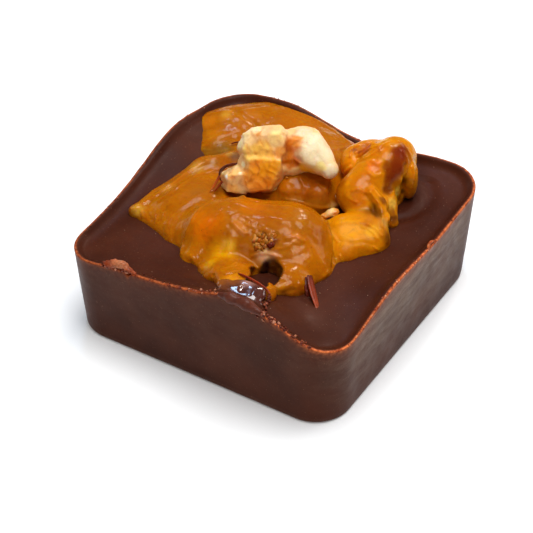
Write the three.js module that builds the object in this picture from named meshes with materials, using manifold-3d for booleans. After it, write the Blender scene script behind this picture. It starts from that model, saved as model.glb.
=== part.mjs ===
// Walnut toffee: a square moulded dark chocolate body with a sunken top, a mass of
// soft caramel toffee lying on it, and pieces of walnut, four of them wet with the
// caramel or half sunk in it and one bare on top.
// Millimetres, +Z up, the flat base on z = 0, the axis through the middle of the base.
import * as THREE from "three";
import Module from "manifold-3d";

const wasm = await Module();
wasm.setup();

// ---------------------------------------------------------------- driving sizes
const BASE_HALF = 16.95; // half the width of the base
const CORNER_R = 4.25; // radius of the upright corners, the same from base to rim
const DRAFT_DEG = 4.24; // lean of the side walls, wider at the rim
const RIM_HEIGHT = 12.22; // mean height of the rim
const BASE_FILLET = 0.4; // rounding between base and side walls
const RIM_WIDTH = 0.65; // the thin raised rim, outside to inside
const RIM_ROUND = 0.16; // how far the rim's edges are rounded over
const FLOOR_HEIGHT = 11.0; // height of the sunken top in its middle
const SINK_MEAN = 0.75; // how far the sunken top lies below the rim, next to it
const SINK_SWING = 0.25; // deeper by this towards SINK_TOWARDS, shallower opposite
const SINK_TOWARDS_DEG = 120;
const CREEP = 0.8; // part of that depth which creeps up the inside of the rim
const CREEP_LENGTH = 0.55; // how fast it fades away from the rim
// The rim isn't level: cosine and sine parts of its height, one pair a wave number,
// measured round the perimeter from the middle of the +X side.
const RIM_WAVES = [
  [0.052, 0.086],
  [-0.237, -0.447],
  [-0.181, 0.865],
  [0.322, 0.025],
  [0.107, -0.191],
  [0.272, -0.474],
  [0.01, 0.026],
  [-0.216, -0.056],
];
const GAP = 0.3; // air between two pieces that lie against each other

const WALL_TURNS = 78; // facets round the body
const CARAMEL_TURNS = 76; // facets round the caramel
const STEEPEST = 1.7; // most that the caramel's reach changes from one turn to the next

// Rounded lumps that melt into one another. A lump is a centre, three half sizes, the
// turn of its first half size about +Z in degrees, and how far it melts into the rest.
// A strand is two end centres, the radius at each end, and how far it melts.
const lump = (centre, half, turn, melt) => ({
  centre,
  half,
  cos: Math.cos((turn * Math.PI) / 180),
  sin: Math.sin((turn * Math.PI) / 180),
  melt,
});
const strand = (a, b, ra, rb, melt) => ({ a, b, ra, rb, melt });
// A chunk is a lump with broken faces: it is cut off flat along each direction given, at a
// distance from its centre.
const chunk = (centre, half, turn, melt, cuts) => ({
  ...lump(centre, half, turn, melt),
  cuts,
});

const CARAMEL = [
  // the broad lobe that reaches to the back corner
  lump([-13.64, 11.35, 10.3], [4.3, 4.4, 2.9], 31, 1.2),
  lump([-12.8, 8.06, 10.3], [3.2, 3.4, 2.3], 31, 1.0),
  lump([-10.42, 14.11, 10.4], [5.2, 4.6, 2.9], 25, 1.6),
  lump([-5.53, 14.8, 10.2], [5.0, 4.2, 2.7], 10, 1.6),
  lump([-1.37, 14.28, 10.2], [3.4, 3.0, 2.4], -10, 1.2),
  // the middle, below the bare nut
  lump([-3.41, 8.08, 11.0], [7.6, 6.2, 3.0], 31, 2.0),
  lump([0.12, 4.89, 11.0], [5.6, 4.0, 2.6], 31, 1.5),
  // the pulled wing that ends in a point
  strand([-14.77, -6.89, 10.6], [-11.41, 2.72, 11.3], 0.6, 1.6, 0.6),
  strand([-11.41, 2.72, 11.3], [-7.67, 5.5, 12.0], 1.6, 1.9, 1.0),
  strand([-14.03, -6.78, 10.4], [-8.13, -8.26, 10.4], 0.9, 1.5, 0.8),
  lump([-11.05, -3.93, 10.0], [3.6, 3.4, 2.3], 5, 1.2),
  lump([-8.63, -2.61, 10.4], [4.4, 5.8, 2.9], 5, 1.4),
  lump([-7.23, -6.8, 10.2], [2.6, 3.4, 2.1], 5, 1.0),
  // the dome at the front
  lump([-1.68, -5.49, 11.2], [6.4, 4.9, 4.3], 25, 1.0),
  lump([3.22, -3.73, 11.2], [5.5, 5.4, 4.3], 31, 1.2),
  lump([6.22, -5.92, 10.6], [4.2, 3.6, 2.7], 31, 1.2),
  lump([-3.21, -9.67, 10.6], [3.0, 2.4, 2.1], 31, 1.0),
  lump([6.6, -9.9, 11.0], [3.4, 2.2, 2.1], 31, 1.0),
  lump([0.4, -11.2, 11.0], [3.2, 2.2, 1.9], 31, 1.0),
];
// the run that flows on to the front rim
const RUN = [
  lump([2.6, -13.0, 12.0], [3.4, 2.6, 1.6], 31, 1.2),
  lump([3.6, -14.6, 12.8], [3.2, 2.2, 1.2], 31, 1.0),
  lump([5.8, -14.0, 12.6], [2.4, 1.9, 1.3], 31, 1.0),
];
// the hole in the front of the dome, down to the chocolate
const HOLE = { centre: [5.0, -10.6, 12.4], half: [1.6, 1.7, 6.0], turn: 31 };
// how much of the rim's width the run covers
const RUN_REACH = RIM_WIDTH - RIM_ROUND - 0.05;

// A nut piece is one knob or more, each drawn out from its own middle.
const NUTS = {
  // bare piece on top: an upright broken block with a foot, and a curved arm
  walnut_top: {
    colour: 0xe6d3a6,
    roughness: 0.62,
    knobs: [
      {
        middle: [-2.9, 2.9, 16.6],
        detail: 5,
        shape: [
          chunk([-4.25, 3.13, 17.9], [3.1, 2.5, 2.75], 31, 0.3, [
            [[0.42, -0.78, 0.47], 1.75],
            [[-0.74, -0.57, 0.35], 2.15],
            [[-0.14, 0.03, 0.99], 2.15],
            [[-0.42, -0.84, -0.35], 2.35],
            [[-0.29, -0.59, 0.75], 2.2],
          ]),
          chunk([-2.86, 4.08, 17.7], [2.7, 2.2, 2.6], 31, 0.3, [
            [[0.51, -0.61, 0.61], 1.72],
            [[-0.02, 0.22, 0.97], 2.05],
            [[0.88, -0.47, 0], 1.9],
          ]),
          chunk([-2.32, 1.48, 15.5], [3.1, 2.6, 3.05], 31, 0.3, [
            [[0.44, -0.82, 0.36], 1.95],
            [[0.97, -0.18, -0.15], 1.95],
            [[0.41, -0.45, -0.79], 2.35],
            [[0.79, 0.6, 0.15], 2.3],
            [[-0.04, -0.32, -0.95], 2.55],
            [[0.66, 0.06, 0.75], 2.35],
          ]),
        ],
      },
      {
        middle: [-4.4, -0.6, 14.9],
        detail: 3,
        shape: [
          chunk([-4.44, -0.63, 14.9], [2.1, 1.8, 1.9], 31, 0.3, [
            [[-0.02, -0.25, 0.97], 1.35],
            [[0.4, -0.88, 0.25], 1.35],
            [[0.18, -0.48, -0.86], 1.45],
          ]),
          chunk([-5.33, -0.8, 14.8], [1.7, 1.6, 1.9], 31, 0.3, [
            [[-0.61, -0.78, 0.1], 0.98],
            [[0.05, -0.27, 0.96], 1.32],
            [[0.4, -0.88, 0.25], 1.28],
          ]),
        ],
      },
      {
        middle: [-0.3, 6.1, 17.0],
        detail: 4,
        shape: [
          chunk([-1.85, 5.47, 16.8], [2.0, 1.9, 2.1], 31, 0.4, [
            [[0.48, -0.59, 0.65], 1.35],
            [[-0.05, 0.08, 1], 1.5],
          ]),
          chunk([-0.52, 6.31, 17.2], [2.35, 2.2, 2.3], 31, 0.6, [
            [[0.23, -0.27, 0.93], 1.95],
            [[0.28, -0.84, 0.46], 1.85],
          ]),
          chunk([1.45, 5.64, 16.7], [2.3, 2.1, 2.2], 31, 0.8, [
            [[0.64, -0.48, 0.6], 1.8],
            [[0.64, 0.39, 0.65], 1.8],
            [[0.23, -0.76, -0.61], 1.7],
          ]),
          strand([1.73, 5.85, 16.4], [3.64, 5.27, 15.9], 1.75, 1.15, 0.7),
        ],
      },
    ],
  },
  // the tall piece by the right side, with skin left on its outer shoulder
  walnut_right: {
    colour: 0xa9611c,
    roughness: 0.25,
    knobs: [
      {
        middle: [7.9, 9.2, 13.4],
        detail: 5,
        shape: [
          strand([8.34, 12.12, 15.0], [8.05, 10.54, 14.9], 2.45, 2.5, 1.0),
          strand([8.15, 10.37, 14.9], [7.11, 5.87, 13.3], 2.55, 2.45, 1.2),
          lump([5.77, 11.61, 14.9], [2.6, 2.0, 1.5], 31, 0.6),
          lump([7.54, 9.83, 11.6], [3.1, 3.2, 2.6], 31, 1.2),
          chunk([9.03, 10.74, 13.6], [1.9, 2.4, 3.0], 31, 0.5, [
            [[0.96, -0.12, 0.25], 1.35],
          ]),
          lump([10.58, 11.48, 13.3], [1.0, 1.7, 2.5], 31, 0.5),
        ],
      },
      {
        middle: [8.3, 6.2, 13.0],
        detail: 3,
        shape: [
          strand([7.9, 7.0, 13.6], [7.11, 5.87, 13.3], 2.3, 2.4, 1.0),
          strand([10.09, 7.03, 12.6], [11.48, 5.77, 11.3], 1.3, 0.8, 0.9),
          lump([8.62, 5.06, 12.6], [2.2, 2.0, 1.8], 31, 1.0),
        ],
      },
    ],
  },
  // the low yellow piece at the foot of the tall one
  walnut_low: {
    colour: 0xcf8a1c,
    roughness: 0.22,
    knobs: [
      {
        middle: [9.8, 0.9, 11.6],
        detail: 4,
        shape: [
          chunk([9.61, 1.32, 11.7], [3.5, 2.5, 2.2], 31, 0.9, [
            [[0.2, -0.23, 0.95], 1.45],
          ]),
          chunk([11.34, 1.44, 11.2], [2.0, 1.8, 1.9], 31, 0.8, [
            [[0.24, -0.2, 0.95], 1.3],
          ]),
          lump([9.4, -1.16, 10.9], [1.9, 1.9, 1.5], 31, 0.9),
          lump([8.04, 1.37, 12.0], [2.0, 1.7, 1.4], 31, 0.9),
          lump([9.72, 3.36, 12.2], [2.0, 1.7, 1.3], 31, 1.0),
          lump([9.28, -2.69, 10.5], [0.9, 1.0, 0.7], 31, 0.5),
          lump([10.73, 0.09, 10.6], [2.0, 1.4, 1.2], 31, 0.8),
        ],
      },
    ],
  },
  // the small slab between the top one and the dome
  walnut_middle: {
    colour: 0xa8641a,
    roughness: 0.25,
    knobs: [
      {
        middle: [1.4, 4.2, 12.9],
        detail: 4,
        shape: [
          chunk([1.45, 4.41, 12.7], [3.2, 2.5, 2.4], 31, 0.55, [
            [[0.28, -0.36, 0.89], 1.55],
            [[0.55, -0.81, 0.2], 1.9],
            [[0.94, 0.34, 0.1], 2.5],
          ]),
          chunk([0.33, 3.64, 12.9], [2.2, 2.2, 2.0], 31, 0.6, [
            [[0.12, -0.4, 0.91], 1.4],
            [[0.51, -0.84, 0.2], 1.5],
          ]),
        ],
      },
    ],
  },
};

// ---------------------------------------------------------------- the chocolate body
const rad = THREE.MathUtils.degToRad;
const DRAFT = Math.tan(rad(DRAFT_DEG));
const INNER_HALF = BASE_HALF + RIM_HEIGHT * DRAFT - RIM_WIDTH;

// Height of the rim at u, the perimeter as an angle.
const rimHeight = (u) =>
  RIM_WAVES.reduce(
    (h, [c, s], i) => h + c * Math.cos((i + 1) * u) + s * Math.sin((i + 1) * u),
    RIM_HEIGHT,
  );

// The rounded square of a half width, in the direction of x, y: how far it reaches, and
// where on the perimeter that is. The perimeter runs as an angle, each quarter of it
// from the middle of one side to the middle of the next by length.
function outline(x, y, half) {
  const quarter = Math.PI / 2;
  const phi = (Math.atan2(y, x) + 4 * quarter) % (4 * quarter);
  const k = Math.floor(phi / quarter);
  const c = Math.cos(phi - k * quarter);
  const s = Math.sin(phi - k * quarter);
  const straight = half - CORNER_R;
  const total = 2 * straight + quarter * CORNER_R;
  let reach, along;
  if (s * half <= c * straight) {
    reach = half / c;
    along = (half * s) / c;
  } else if (c * half <= s * straight) {
    reach = half / s;
    along = total - (half * c) / s;
  } else {
    const b = straight * (c + s);
    reach = b + Math.sqrt(b * b - 2 * straight * straight + CORNER_R * CORNER_R);
    along =
      straight +
      CORNER_R * Math.atan2(reach * s - straight, reach * c - straight);
  }
  return { reach, u: (k + along / total) * quarter };
}

// The sunken top: level in the middle, up towards the rim, and crept up its inside.
function topHeight(x, y) {
  const { reach, u } = outline(x, y, INNER_HALF);
  const rho = Math.hypot(x, y) / reach;
  const rim = rimHeight(u);
  if (rho >= 1) return rim;
  const sink = SINK_MEAN + SINK_SWING * Math.cos(u - rad(SINK_TOWARDS_DEG));
  const level = FLOOR_HEIGHT + (rim - sink - FLOOR_HEIGHT) * rho ** 3;
  return level + sink * CREEP * Math.exp(-((1 - rho) * reach) / CREEP_LENGTH);
}

// Turned from a profile whose stations are then laid on the rounded square.
// A station is [kind, amount]: see place() below.
const STATIONS = [
  ["base", 0],
  ["base", 0.55],
  ["base", 1],
  ["fillet", 0.5],
  ["wall", 0],
  ["wall", 0.5],
  ["wall", 1],
  ["rim", 0.25],
  ["rim", 0.6],
  ["top", 1],
  ["top", 0.985],
  ["top", 0.965],
  ["top", 0.935],
  ["top", 0.87],
  ["top", 0.72],
  ["top", 0.5],
  ["top", 0.26],
  ["top", 0],
];

// The point of a station at u on the perimeter.
function place([kind, amount], t) {
  // more facets at the corners than along the sides
  const dir = (t0) => t0 + 0.1 * Math.sin(4 * t0);
  const phi = dir(t);
  const cx = Math.cos(phi);
  const cy = Math.sin(phi);
  const outer = outline(cx, cy, BASE_HALF);
  const rim = rimHeight(outer.u);
  const at = (half, inset) => outline(cx, cy, half).reach - inset;
  if (kind === "base") {
    const r = at(BASE_HALF, BASE_FILLET) * amount;
    return [r * cx, r * cy, 0];
  }
  if (kind === "fillet") {
    const a = (amount * Math.PI) / 2;
    const r = at(BASE_HALF, BASE_FILLET * (1 - Math.sin(a)));
    return [r * cx, r * cy, BASE_FILLET * (1 - Math.cos(a))];
  }
  if (kind === "wall") {
    const z = BASE_FILLET + (rim - RIM_ROUND - BASE_FILLET) * amount;
    const r = at(BASE_HALF + z * DRAFT, 0);
    return [r * cx, r * cy, z];
  }
  if (kind === "rim") {
    const outside = at(BASE_HALF + rim * DRAFT, 0);
    const inside = at(INNER_HALF, 0);
    const r = outside + (inside - outside) * amount;
    return [r * cx, r * cy, rim];
  }
  const r = at(INNER_HALF, 0) * amount;
  return [r * cx, r * cy, topHeight(r * cx * 0.9999, r * cy * 0.9999)];
}

// A solid of revolution whose point j of the profile, on turn i, is put where asked.
function laid(turns, count, where) {
  const profile = Array.from({ length: count }, (_, j) => {
    const onAxis = j === 0 || j === count - 1;
    return new THREE.Vector2(onAxis ? 0 : 1, j);
  });
  const g = new THREE.LatheGeometry(profile, turns);
  const p = g.getAttribute("position");
  for (let i = 0; i < p.count; i++) {
    const j = i % count;
    const turn = Math.floor(i / count) % turns;
    const [x, y, z] = where(j, (turn / turns) * 2 * Math.PI);
    p.setXYZ(i, x, y, z);
  }
  g.deleteAttribute("uv");
  return g;
}

// ---------------------------------------------------------------- lumps and strands
function melt(a, b, k) {
  const h = Math.min(1, Math.max(0, 0.5 + (0.5 * (b - a)) / k));
  return b + (a - b) * h - k * h * (1 - h);
}

// Near enough the distance from x, y, z to one lump or strand, negative inside.
function reachOf(s, x, y, z) {
  if (s.half) {
    const dx = x - s.centre[0];
    const dy = y - s.centre[1];
    const [hx, hy, hz] = s.half;
    const px = (dx * s.cos + dy * s.sin) / hx;
    const py = (-dx * s.sin + dy * s.cos) / hy;
    const pz = (z - s.centre[2]) / hz;
    const k0 = Math.sqrt(px * px + py * py + pz * pz);
    const k1 = Math.sqrt((px / hx) ** 2 + (py / hy) ** 2 + (pz / hz) ** 2);
    const off = k1 < 1e-9 ? -Math.min(hx, hy, hz) : (k0 * (k0 - 1)) / k1;
    return (s.cuts ?? []).reduce(
      (far, [[nx, ny, nz], d]) =>
        Math.max(far, dx * nx + dy * ny + (z - s.centre[2]) * nz - d),
      off,
    );
  }
  const bx = s.b[0] - s.a[0];
  const by = s.b[1] - s.a[1];
  const bz = s.b[2] - s.a[2];
  const px = x - s.a[0];
  const py = y - s.a[1];
  const pz = z - s.a[2];
  const run = (px * bx + py * by + pz * bz) / (bx * bx + by * by + bz * bz);
  const t = Math.min(1, Math.max(0, run));
  const off = Math.sqrt(
    (px - bx * t) ** 2 + (py - by * t) ** 2 + (pz - bz * t) ** 2,
  );
  return off - (s.ra + (s.rb - s.ra) * t);
}

function mass(shape, x, y, z) {
  let f = reachOf(shape[0], x, y, z);
  for (let i = 1; i < shape.length; i++)
    f = melt(f, reachOf(shape[i], x, y, z), shape[i].melt);
  return f;
}

// The last place where f turns positive on the way out from lo to hi.
function edge(f, lo, hi, steps) {
  let r = hi;
  const step = (hi - lo) / steps;
  while (r > lo && f(r) > 0) r -= step;
  if (r <= lo) return lo;
  let a = r;
  let b = Math.min(hi, r + step);
  for (let i = 0; i < 22; i++) {
    const m = (a + b) / 2;
    if (f(m) > 0) b = m;
    else a = m;
  }
  return (a + b) / 2;
}

// ---------------------------------------------------------------- the caramel
const CARAMEL_MIDDLE = [-1.6, -0.6];
// Stations from the middle out: up to 1 they are parts of the reach without the run,
// and from 1 to 2 they cover what is left.
const UPPER_RINGS = [0.18, 0.35, 0.5, 0.63, 0.74, 0.84, 0.93, 1, 1.3, 1.6, 1.86];
const LOWER_RINGS = [0.6, 1, 1.5];
const EDGE_PART = 0.965; // of that reach, where the last stations begin

// What the caramel lies on, with the gap left free.
function bed(x, y) {
  return topHeight(x, y) + GAP;
}

// How far a mass reaches from the middle of the caramel in each direction. An outline
// that runs almost straight out from the middle is drawn in steps.
function reaches(shape) {
  const reach = Array.from({ length: CARAMEL_TURNS }, (_, i) => {
    const a = (i / CARAMEL_TURNS) * 2 * Math.PI;
    const at = (r) => [
      CARAMEL_MIDDLE[0] + r * Math.cos(a),
      CARAMEL_MIDDLE[1] + r * Math.sin(a),
    ];
    return edge(
      (r) => {
        const [x, y] = at(r);
        const over = Math.hypot(x, y) - outline(x, y, INNER_HALF).reach - RUN_REACH;
        return Math.max(mass(shape, x, y, bed(x, y) + 0.04), over);
      },
      1,
      24,
      160,
    );
  });
  for (const step of [1, CARAMEL_TURNS - 1])
    for (let n = 0, i = 0; n < 2 * CARAMEL_TURNS; n++) {
      const next = (i + step) % CARAMEL_TURNS;
      reach[next] = Math.min(reach[next], reach[i] + STEEPEST);
      i = next;
    }
  return reach;
}

function caramelGeometry() {
  const whole = [...CARAMEL, ...RUN];
  const far = reaches(whole);
  const near = reaches(CARAMEL);
  const stations = [0, ...LOWER_RINGS, 2, ...[...UPPER_RINGS].reverse(), 0];
  return laid(CARAMEL_TURNS, stations.length, (j, a) => {
    const i = Math.round((a / (2 * Math.PI)) * CARAMEL_TURNS) % CARAMEL_TURNS;
    const up = j > LOWER_RINGS.length + 1;
    const rho = stations[j];
    const start = Math.min(near[i], far[i]) * EDGE_PART;
    const r = rho <= 1 ? rho * start : start + (rho - 1) * (far[i] - start);
    const x = CARAMEL_MIDDLE[0] + r * Math.cos(a);
    const y = CARAMEL_MIDDLE[1] + r * Math.sin(a);
    const low = bed(x, y);
    if (!up) return [x, y, low];
    const high = edge((z) => mass(whole, x, y, z), low, 20, 60);
    return [x, y, Math.max(high, low + 0.08)];
  });
}

// ---------------------------------------------------------------- the nut pieces
// A ball drawn out from the middle of a knob to its surface, or off it by grow. It ends
// above the chocolate.
function knobGeometry({ middle, shape, detail }, grow) {
  const g = new THREE.IcosahedronGeometry(1, detail);
  const p = g.getAttribute("position");
  const clear = GAP - Math.max(grow, 0) * 1.6;
  for (let i = 0; i < p.count; i++) {
    const d = [p.getX(i), p.getY(i), p.getZ(i)].map((v) => Math.round(v * 1e6) / 1e6);
    const r = edge(
      (t) => {
        const [x, y, z] = middle.map((m, k) => m + d[k] * t);
        return Math.max(
          mass(shape, x, y, z) - grow,
          topHeight(x, y) + clear - z,
        );
      },
      0.2,
      9,
      90,
    );
    p.setXYZ(i, ...middle.map((m, k) => m + d[k] * r));
  }
  g.deleteAttribute("uv");
  return g;
}

const nutSolid = ({ knobs }, grow) =>
  knobs.map((k) => solidOf(knobGeometry(k, grow))).reduce((a, b) => a.add(b));

// ---------------------------------------------------------------- cutting and handing over
function solidOf(geometry) {
  const p = geometry.getAttribute("position");
  const index = new Map();
  const points = [];
  const faces = [];
  const order = geometry.index
    ? Array.from(geometry.index.array)
    : Array.from({ length: p.count }, (_, i) => i);
  const ids = order.map((i) => {
    const at = [p.getX(i), p.getY(i), p.getZ(i)];
    const key = at.map((v) => Math.round(v * 1e4)).join();
    if (!index.has(key)) {
      index.set(key, points.length / 3);
      points.push(...at);
    }
    return index.get(key);
  });
  for (let i = 0; i < ids.length; i += 3) {
    const [a, b, c] = ids.slice(i, i + 3);
    if (a !== b && b !== c && c !== a) faces.push(a, b, c);
  }
  return new wasm.Manifold(
    new wasm.Mesh({
      numProp: 3,
      vertProperties: new Float32Array(points),
      triVerts: new Uint32Array(faces),
    }),
  );
}

function geometryOf(solid) {
  const m = solid.getMesh();
  const g = new THREE.BufferGeometry();
  g.setAttribute(
    "position",
    new THREE.BufferAttribute(new Float32Array(m.vertProperties), 3),
  );
  g.setIndex(Array.from(m.triVerts));
  return g;
}

// The largest piece, where a cut leaves crumbs.
const largest = (solid) =>
  solid.decompose().reduce((a, b) => (b.volume() > a.volume() ? b : a));

const group = new THREE.Group();
group.name = "walnut_toffee";

function add(name, geometry, colour, roughness) {
  const flat = geometry.index ? geometry.toNonIndexed() : geometry;
  flat.computeVertexNormals();
  const mesh = new THREE.Mesh(
    flat,
    new THREE.MeshStandardMaterial({ color: colour, roughness, metalness: 0 }),
  );
  mesh.name = name;
  group.add(mesh);
  return mesh;
}

const body = laid(WALL_TURNS, STATIONS.length, (j, a) => place(STATIONS[j], a));

// Nut pieces, each cut clear of those it leans on.
const order = ["walnut_top", "walnut_right", "walnut_middle", "walnut_low"];
const grown = {};
const nuts = {};
for (const name of order) {
  let solid = nutSolid(NUTS[name], 0);
  for (const other of Object.values(grown)) solid = solid.subtract(other);
  nuts[name] = largest(solid);
  grown[name] = nutSolid(NUTS[name], GAP + 0.04);
}

// The caramel, cut clear of the nut pieces, with its hole.
let caramel = solidOf(caramelGeometry());
for (const name of order) caramel = caramel.subtract(grown[name]);
const holeTool = new THREE.SphereGeometry(1, 20, 10);
holeTool.scale(...HOLE.half);
holeTool.rotateZ(rad(HOLE.turn));
holeTool.translate(...HOLE.centre);
caramel = largest(caramel.subtract(solidOf(holeTool)));

add("chocolate_body", body, 0x4a2b22, 0.42);
add("caramel", geometryOf(caramel), 0xb87318, 0.2);
for (const name of order)
  add(name, geometryOf(nuts[name]), NUTS[name].colour, NUTS[name].roughness);

// The rim leans out a little more where it is high, so the whole is brought back over
// the middle of its own outline.
const box = new THREE.Box3().setFromObject(group);
const middle = box.getCenter(new THREE.Vector3());
for (const mesh of group.children)
  mesh.geometry.translate(-middle.x, -middle.y, 0);

export default group;
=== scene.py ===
import math

import bmesh
import bpy
import numpy as np
from mathutils import Matrix, Vector


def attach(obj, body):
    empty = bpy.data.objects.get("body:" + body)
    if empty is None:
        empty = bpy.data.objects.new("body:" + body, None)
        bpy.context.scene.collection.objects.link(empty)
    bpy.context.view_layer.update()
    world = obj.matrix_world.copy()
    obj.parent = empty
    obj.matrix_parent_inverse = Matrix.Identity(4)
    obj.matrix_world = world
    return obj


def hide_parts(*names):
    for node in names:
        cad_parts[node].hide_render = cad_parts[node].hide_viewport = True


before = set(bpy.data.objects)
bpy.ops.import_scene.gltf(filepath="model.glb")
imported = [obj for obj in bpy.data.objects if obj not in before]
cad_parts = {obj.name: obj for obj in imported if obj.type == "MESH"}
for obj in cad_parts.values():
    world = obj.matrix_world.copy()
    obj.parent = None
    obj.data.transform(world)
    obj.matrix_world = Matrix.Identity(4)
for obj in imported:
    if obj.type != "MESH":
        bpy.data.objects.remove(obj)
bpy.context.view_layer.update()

MM = 0.001
# The CAD part is brought over the middle of its own outline by this much.
SHIFT = np.array([0.036, 0.040, 0.0])

# ------------------------------------------------------------------ camera
AZ, EL = math.radians(31.458), math.radians(39.224)
BACK = Vector((math.sin(AZ) * math.cos(EL), -math.cos(AZ) * math.cos(EL), math.sin(EL)))
RIGHT = Vector((math.cos(AZ), math.sin(AZ), 0.0))
UP = BACK.cross(RIGHT)
DIST = 217.1
EYE = BACK * DIST + Vector((0, 0, 6.0)) + Vector(SHIFT)
cam_data = bpy.data.cameras.new("camera")
cam = bpy.data.objects.new("camera", cam_data)
bpy.context.scene.collection.objects.link(cam)
cam_data.sensor_width = 36.0
cam_data.lens = 1900.7 * 36.0 / 533.0
cam_data.clip_start = 0.01
cam_data.clip_end = 20.0
# the picture's middle lies a little off the aim point, which a small turn takes up
du, dv = 10.24, -13.87
aim = (-BACK * 1900.7 + RIGHT * (-du) + UP * dv).normalized()
z_axis = -aim
x_axis = RIGHT
x_axis = UP.cross(z_axis).normalized()
y_axis = z_axis.cross(x_axis)
rot = Matrix((x_axis, y_axis, z_axis)).transposed().to_4x4()
cam.matrix_world = Matrix.Translation(EYE * MM) @ rot
bpy.context.scene.camera = cam


# ------------------------------------------------------------------ noise
_rng = np.random.RandomState(11)
_PERM = np.concatenate([_rng.permutation(512)] * 3)
_VAL = _rng.rand(512).astype(np.float64) * 2 - 1


def _hash(i, j, k, seed):
    return _VAL[_PERM[(_PERM[(_PERM[(i + seed * 17) % 512] + j) % 512] + k) % 512]]


def noise(P, size, seed=0):
    """Smooth noise from -1 to 1 whose bumps are about size across."""
    Q = P / size + 1000.0 + seed * 3.7
    I = np.floor(Q).astype(np.int64)
    f = Q - I
    u = f * f * f * (f * (f * 6 - 15) + 10)
    out = 0
    for a in (0, 1):
        wa = u[..., 0] if a else 1 - u[..., 0]
        for b in (0, 1):
            wb = u[..., 1] if b else 1 - u[..., 1]
            for c in (0, 1):
                wc = u[..., 2] if c else 1 - u[..., 2]
                out = out + wa * wb * wc * _hash(I[..., 0] + a, I[..., 1] + b, I[..., 2] + c, seed)
    return out


def fbm(P, size, octaves=3, seed=0, gain=0.5):
    out, amp, tot = 0, 1.0, 0
    for o in range(octaves):
        out = out + amp * noise(P, size / 2**o, seed + o * 5)
        tot += amp
        amp *= gain
    return out / tot


# ------------------------------------------------------------------ sizes shared with the CAD part
BASE_HALF = 16.95
CORNER_R = 4.25
DRAFT = math.tan(math.radians(4.24))
RIM_HEIGHT = 12.22
BASE_FILLET = 0.4
LIP_RISE, LIP_FROM, LIP_TO = 0.55, 4.835, 5.13
RIM_WIDTH = 0.65
FLOOR_HEIGHT = 11.0
SINK_MEAN, SINK_SWING, SINK_TOWARDS = 0.75, 0.25, math.radians(120)
CREEP, CREEP_LENGTH = 0.8, 0.55
RIM_WAVES = [
    (0.052, 0.086), (-0.237, -0.447), (-0.181, 0.865), (0.322, 0.025),
    (0.107, -0.191), (0.272, -0.474), (0.01, 0.026), (-0.216, -0.056),
]
INNER_HALF = BASE_HALF + RIM_HEIGHT * DRAFT - RIM_WIDTH


def rim_height(u):
    h = np.full_like(u, RIM_HEIGHT)
    for k, (c, s) in enumerate(RIM_WAVES):
        h = h + c * np.cos((k + 1) * u) + s * np.sin((k + 1) * u)
    # it stands a little higher where the caramel runs against it
    return h + LIP_RISE / (1 + np.exp(-(u - LIP_FROM) / 0.018)) / (1 + np.exp((u - LIP_TO) / 0.03))


def outline(x, y, half):
    """How far the rounded square of that half width reaches towards x, y, and where on
    its perimeter that is, as an angle."""
    phi = np.arctan2(y, x) % (2 * np.pi)
    k = np.floor(phi / (np.pi / 2))
    al = phi - k * np.pi / 2
    c, s = np.cos(al), np.sin(al)
    a = half - CORNER_R
    tot = 2 * a + np.pi / 2 * CORNER_R
    lo = s * half <= c * a
    hi = c * half <= s * a
    cs = c + s
    t = a * cs + np.sqrt(np.maximum(a * a * cs * cs - 2 * a * a + CORNER_R**2, 0))
    ang = np.arctan2(t * s - a, t * c - a)
    R = np.where(lo, half / np.maximum(c, 1e-6), np.where(hi, half / np.maximum(s, 1e-6), t))
    sl = np.where(lo, half * s / np.maximum(c, 1e-6), np.where(hi, tot - half * c / np.maximum(s, 1e-6), a + CORNER_R * ang))
    return R, (k + sl / tot) * np.pi / 2


def _top_table(n=261, reach=19.5):
    """The sunken top as a height table: it follows the wavy rim at the edge and levels out
    smoothly towards the middle."""
    t = (np.arange(900) + 0.5) / 900 * 2 * np.pi
    R, u = outline(np.cos(t), np.sin(t), INNER_HALF)
    bx, by = R * np.cos(t), R * np.sin(t)
    step = np.hypot(np.roll(bx, -1) - bx, np.roll(by, -1) - by)
    g = rim_height(u) - (SINK_MEAN + SINK_SWING * np.cos(u - SINK_TOWARDS)) - FLOOR_HEIGHT
    ax = np.linspace(-reach, reach, n)
    X, Y = np.meshgrid(ax, ax, indexing="ij")
    R0, _ = outline(X, Y, INNER_HALF)
    rho = np.hypot(X, Y) / R0
    pull = np.minimum(1, 0.985 / np.maximum(rho, 1e-6))
    X, Y = X * pull, Y * pull
    Z = np.empty_like(X)
    for i in range(n):
        d2 = (X[i][:, None] - bx) ** 2 + (Y[i][:, None] - by) ** 2
        k = step / np.maximum(d2, 0.01) ** 2
        Z[i] = FLOOR_HEIGHT + (k * g).sum(1) / (k.sum(1) + 150 / 17.5**3)
    return Z


_TOP_N, _TOP_REACH = 261, 19.5
_TOP = _top_table(_TOP_N, _TOP_REACH)


def level(x, y):
    """The top without the creep up the rim, from the table."""
    s = (_TOP_N - 1) / (2 * _TOP_REACH)
    fx = np.clip((x + _TOP_REACH) * s, 1, _TOP_N - 2.001)
    fy = np.clip((y + _TOP_REACH) * s, 1, _TOP_N - 2.001)
    i, j = fx.astype(int), fy.astype(int)
    tx, ty = fx - i, fy - j

    def w(t):
        return (-0.5 * t + t * t - 0.5 * t**3, 1 - 2.5 * t * t + 1.5 * t**3, 0.5 * t + 2 * t * t - 1.5 * t**3, -0.5 * t * t + 0.5 * t**3)

    wx, wy = w(tx), w(ty)
    z = 0
    for a in range(4):
        for b in range(4):
            z = z + wx[a] * wy[b] * _TOP[np.clip(i + a - 1, 0, _TOP_N - 1), np.clip(j + b - 1, 0, _TOP_N - 1)]
    return z


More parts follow.
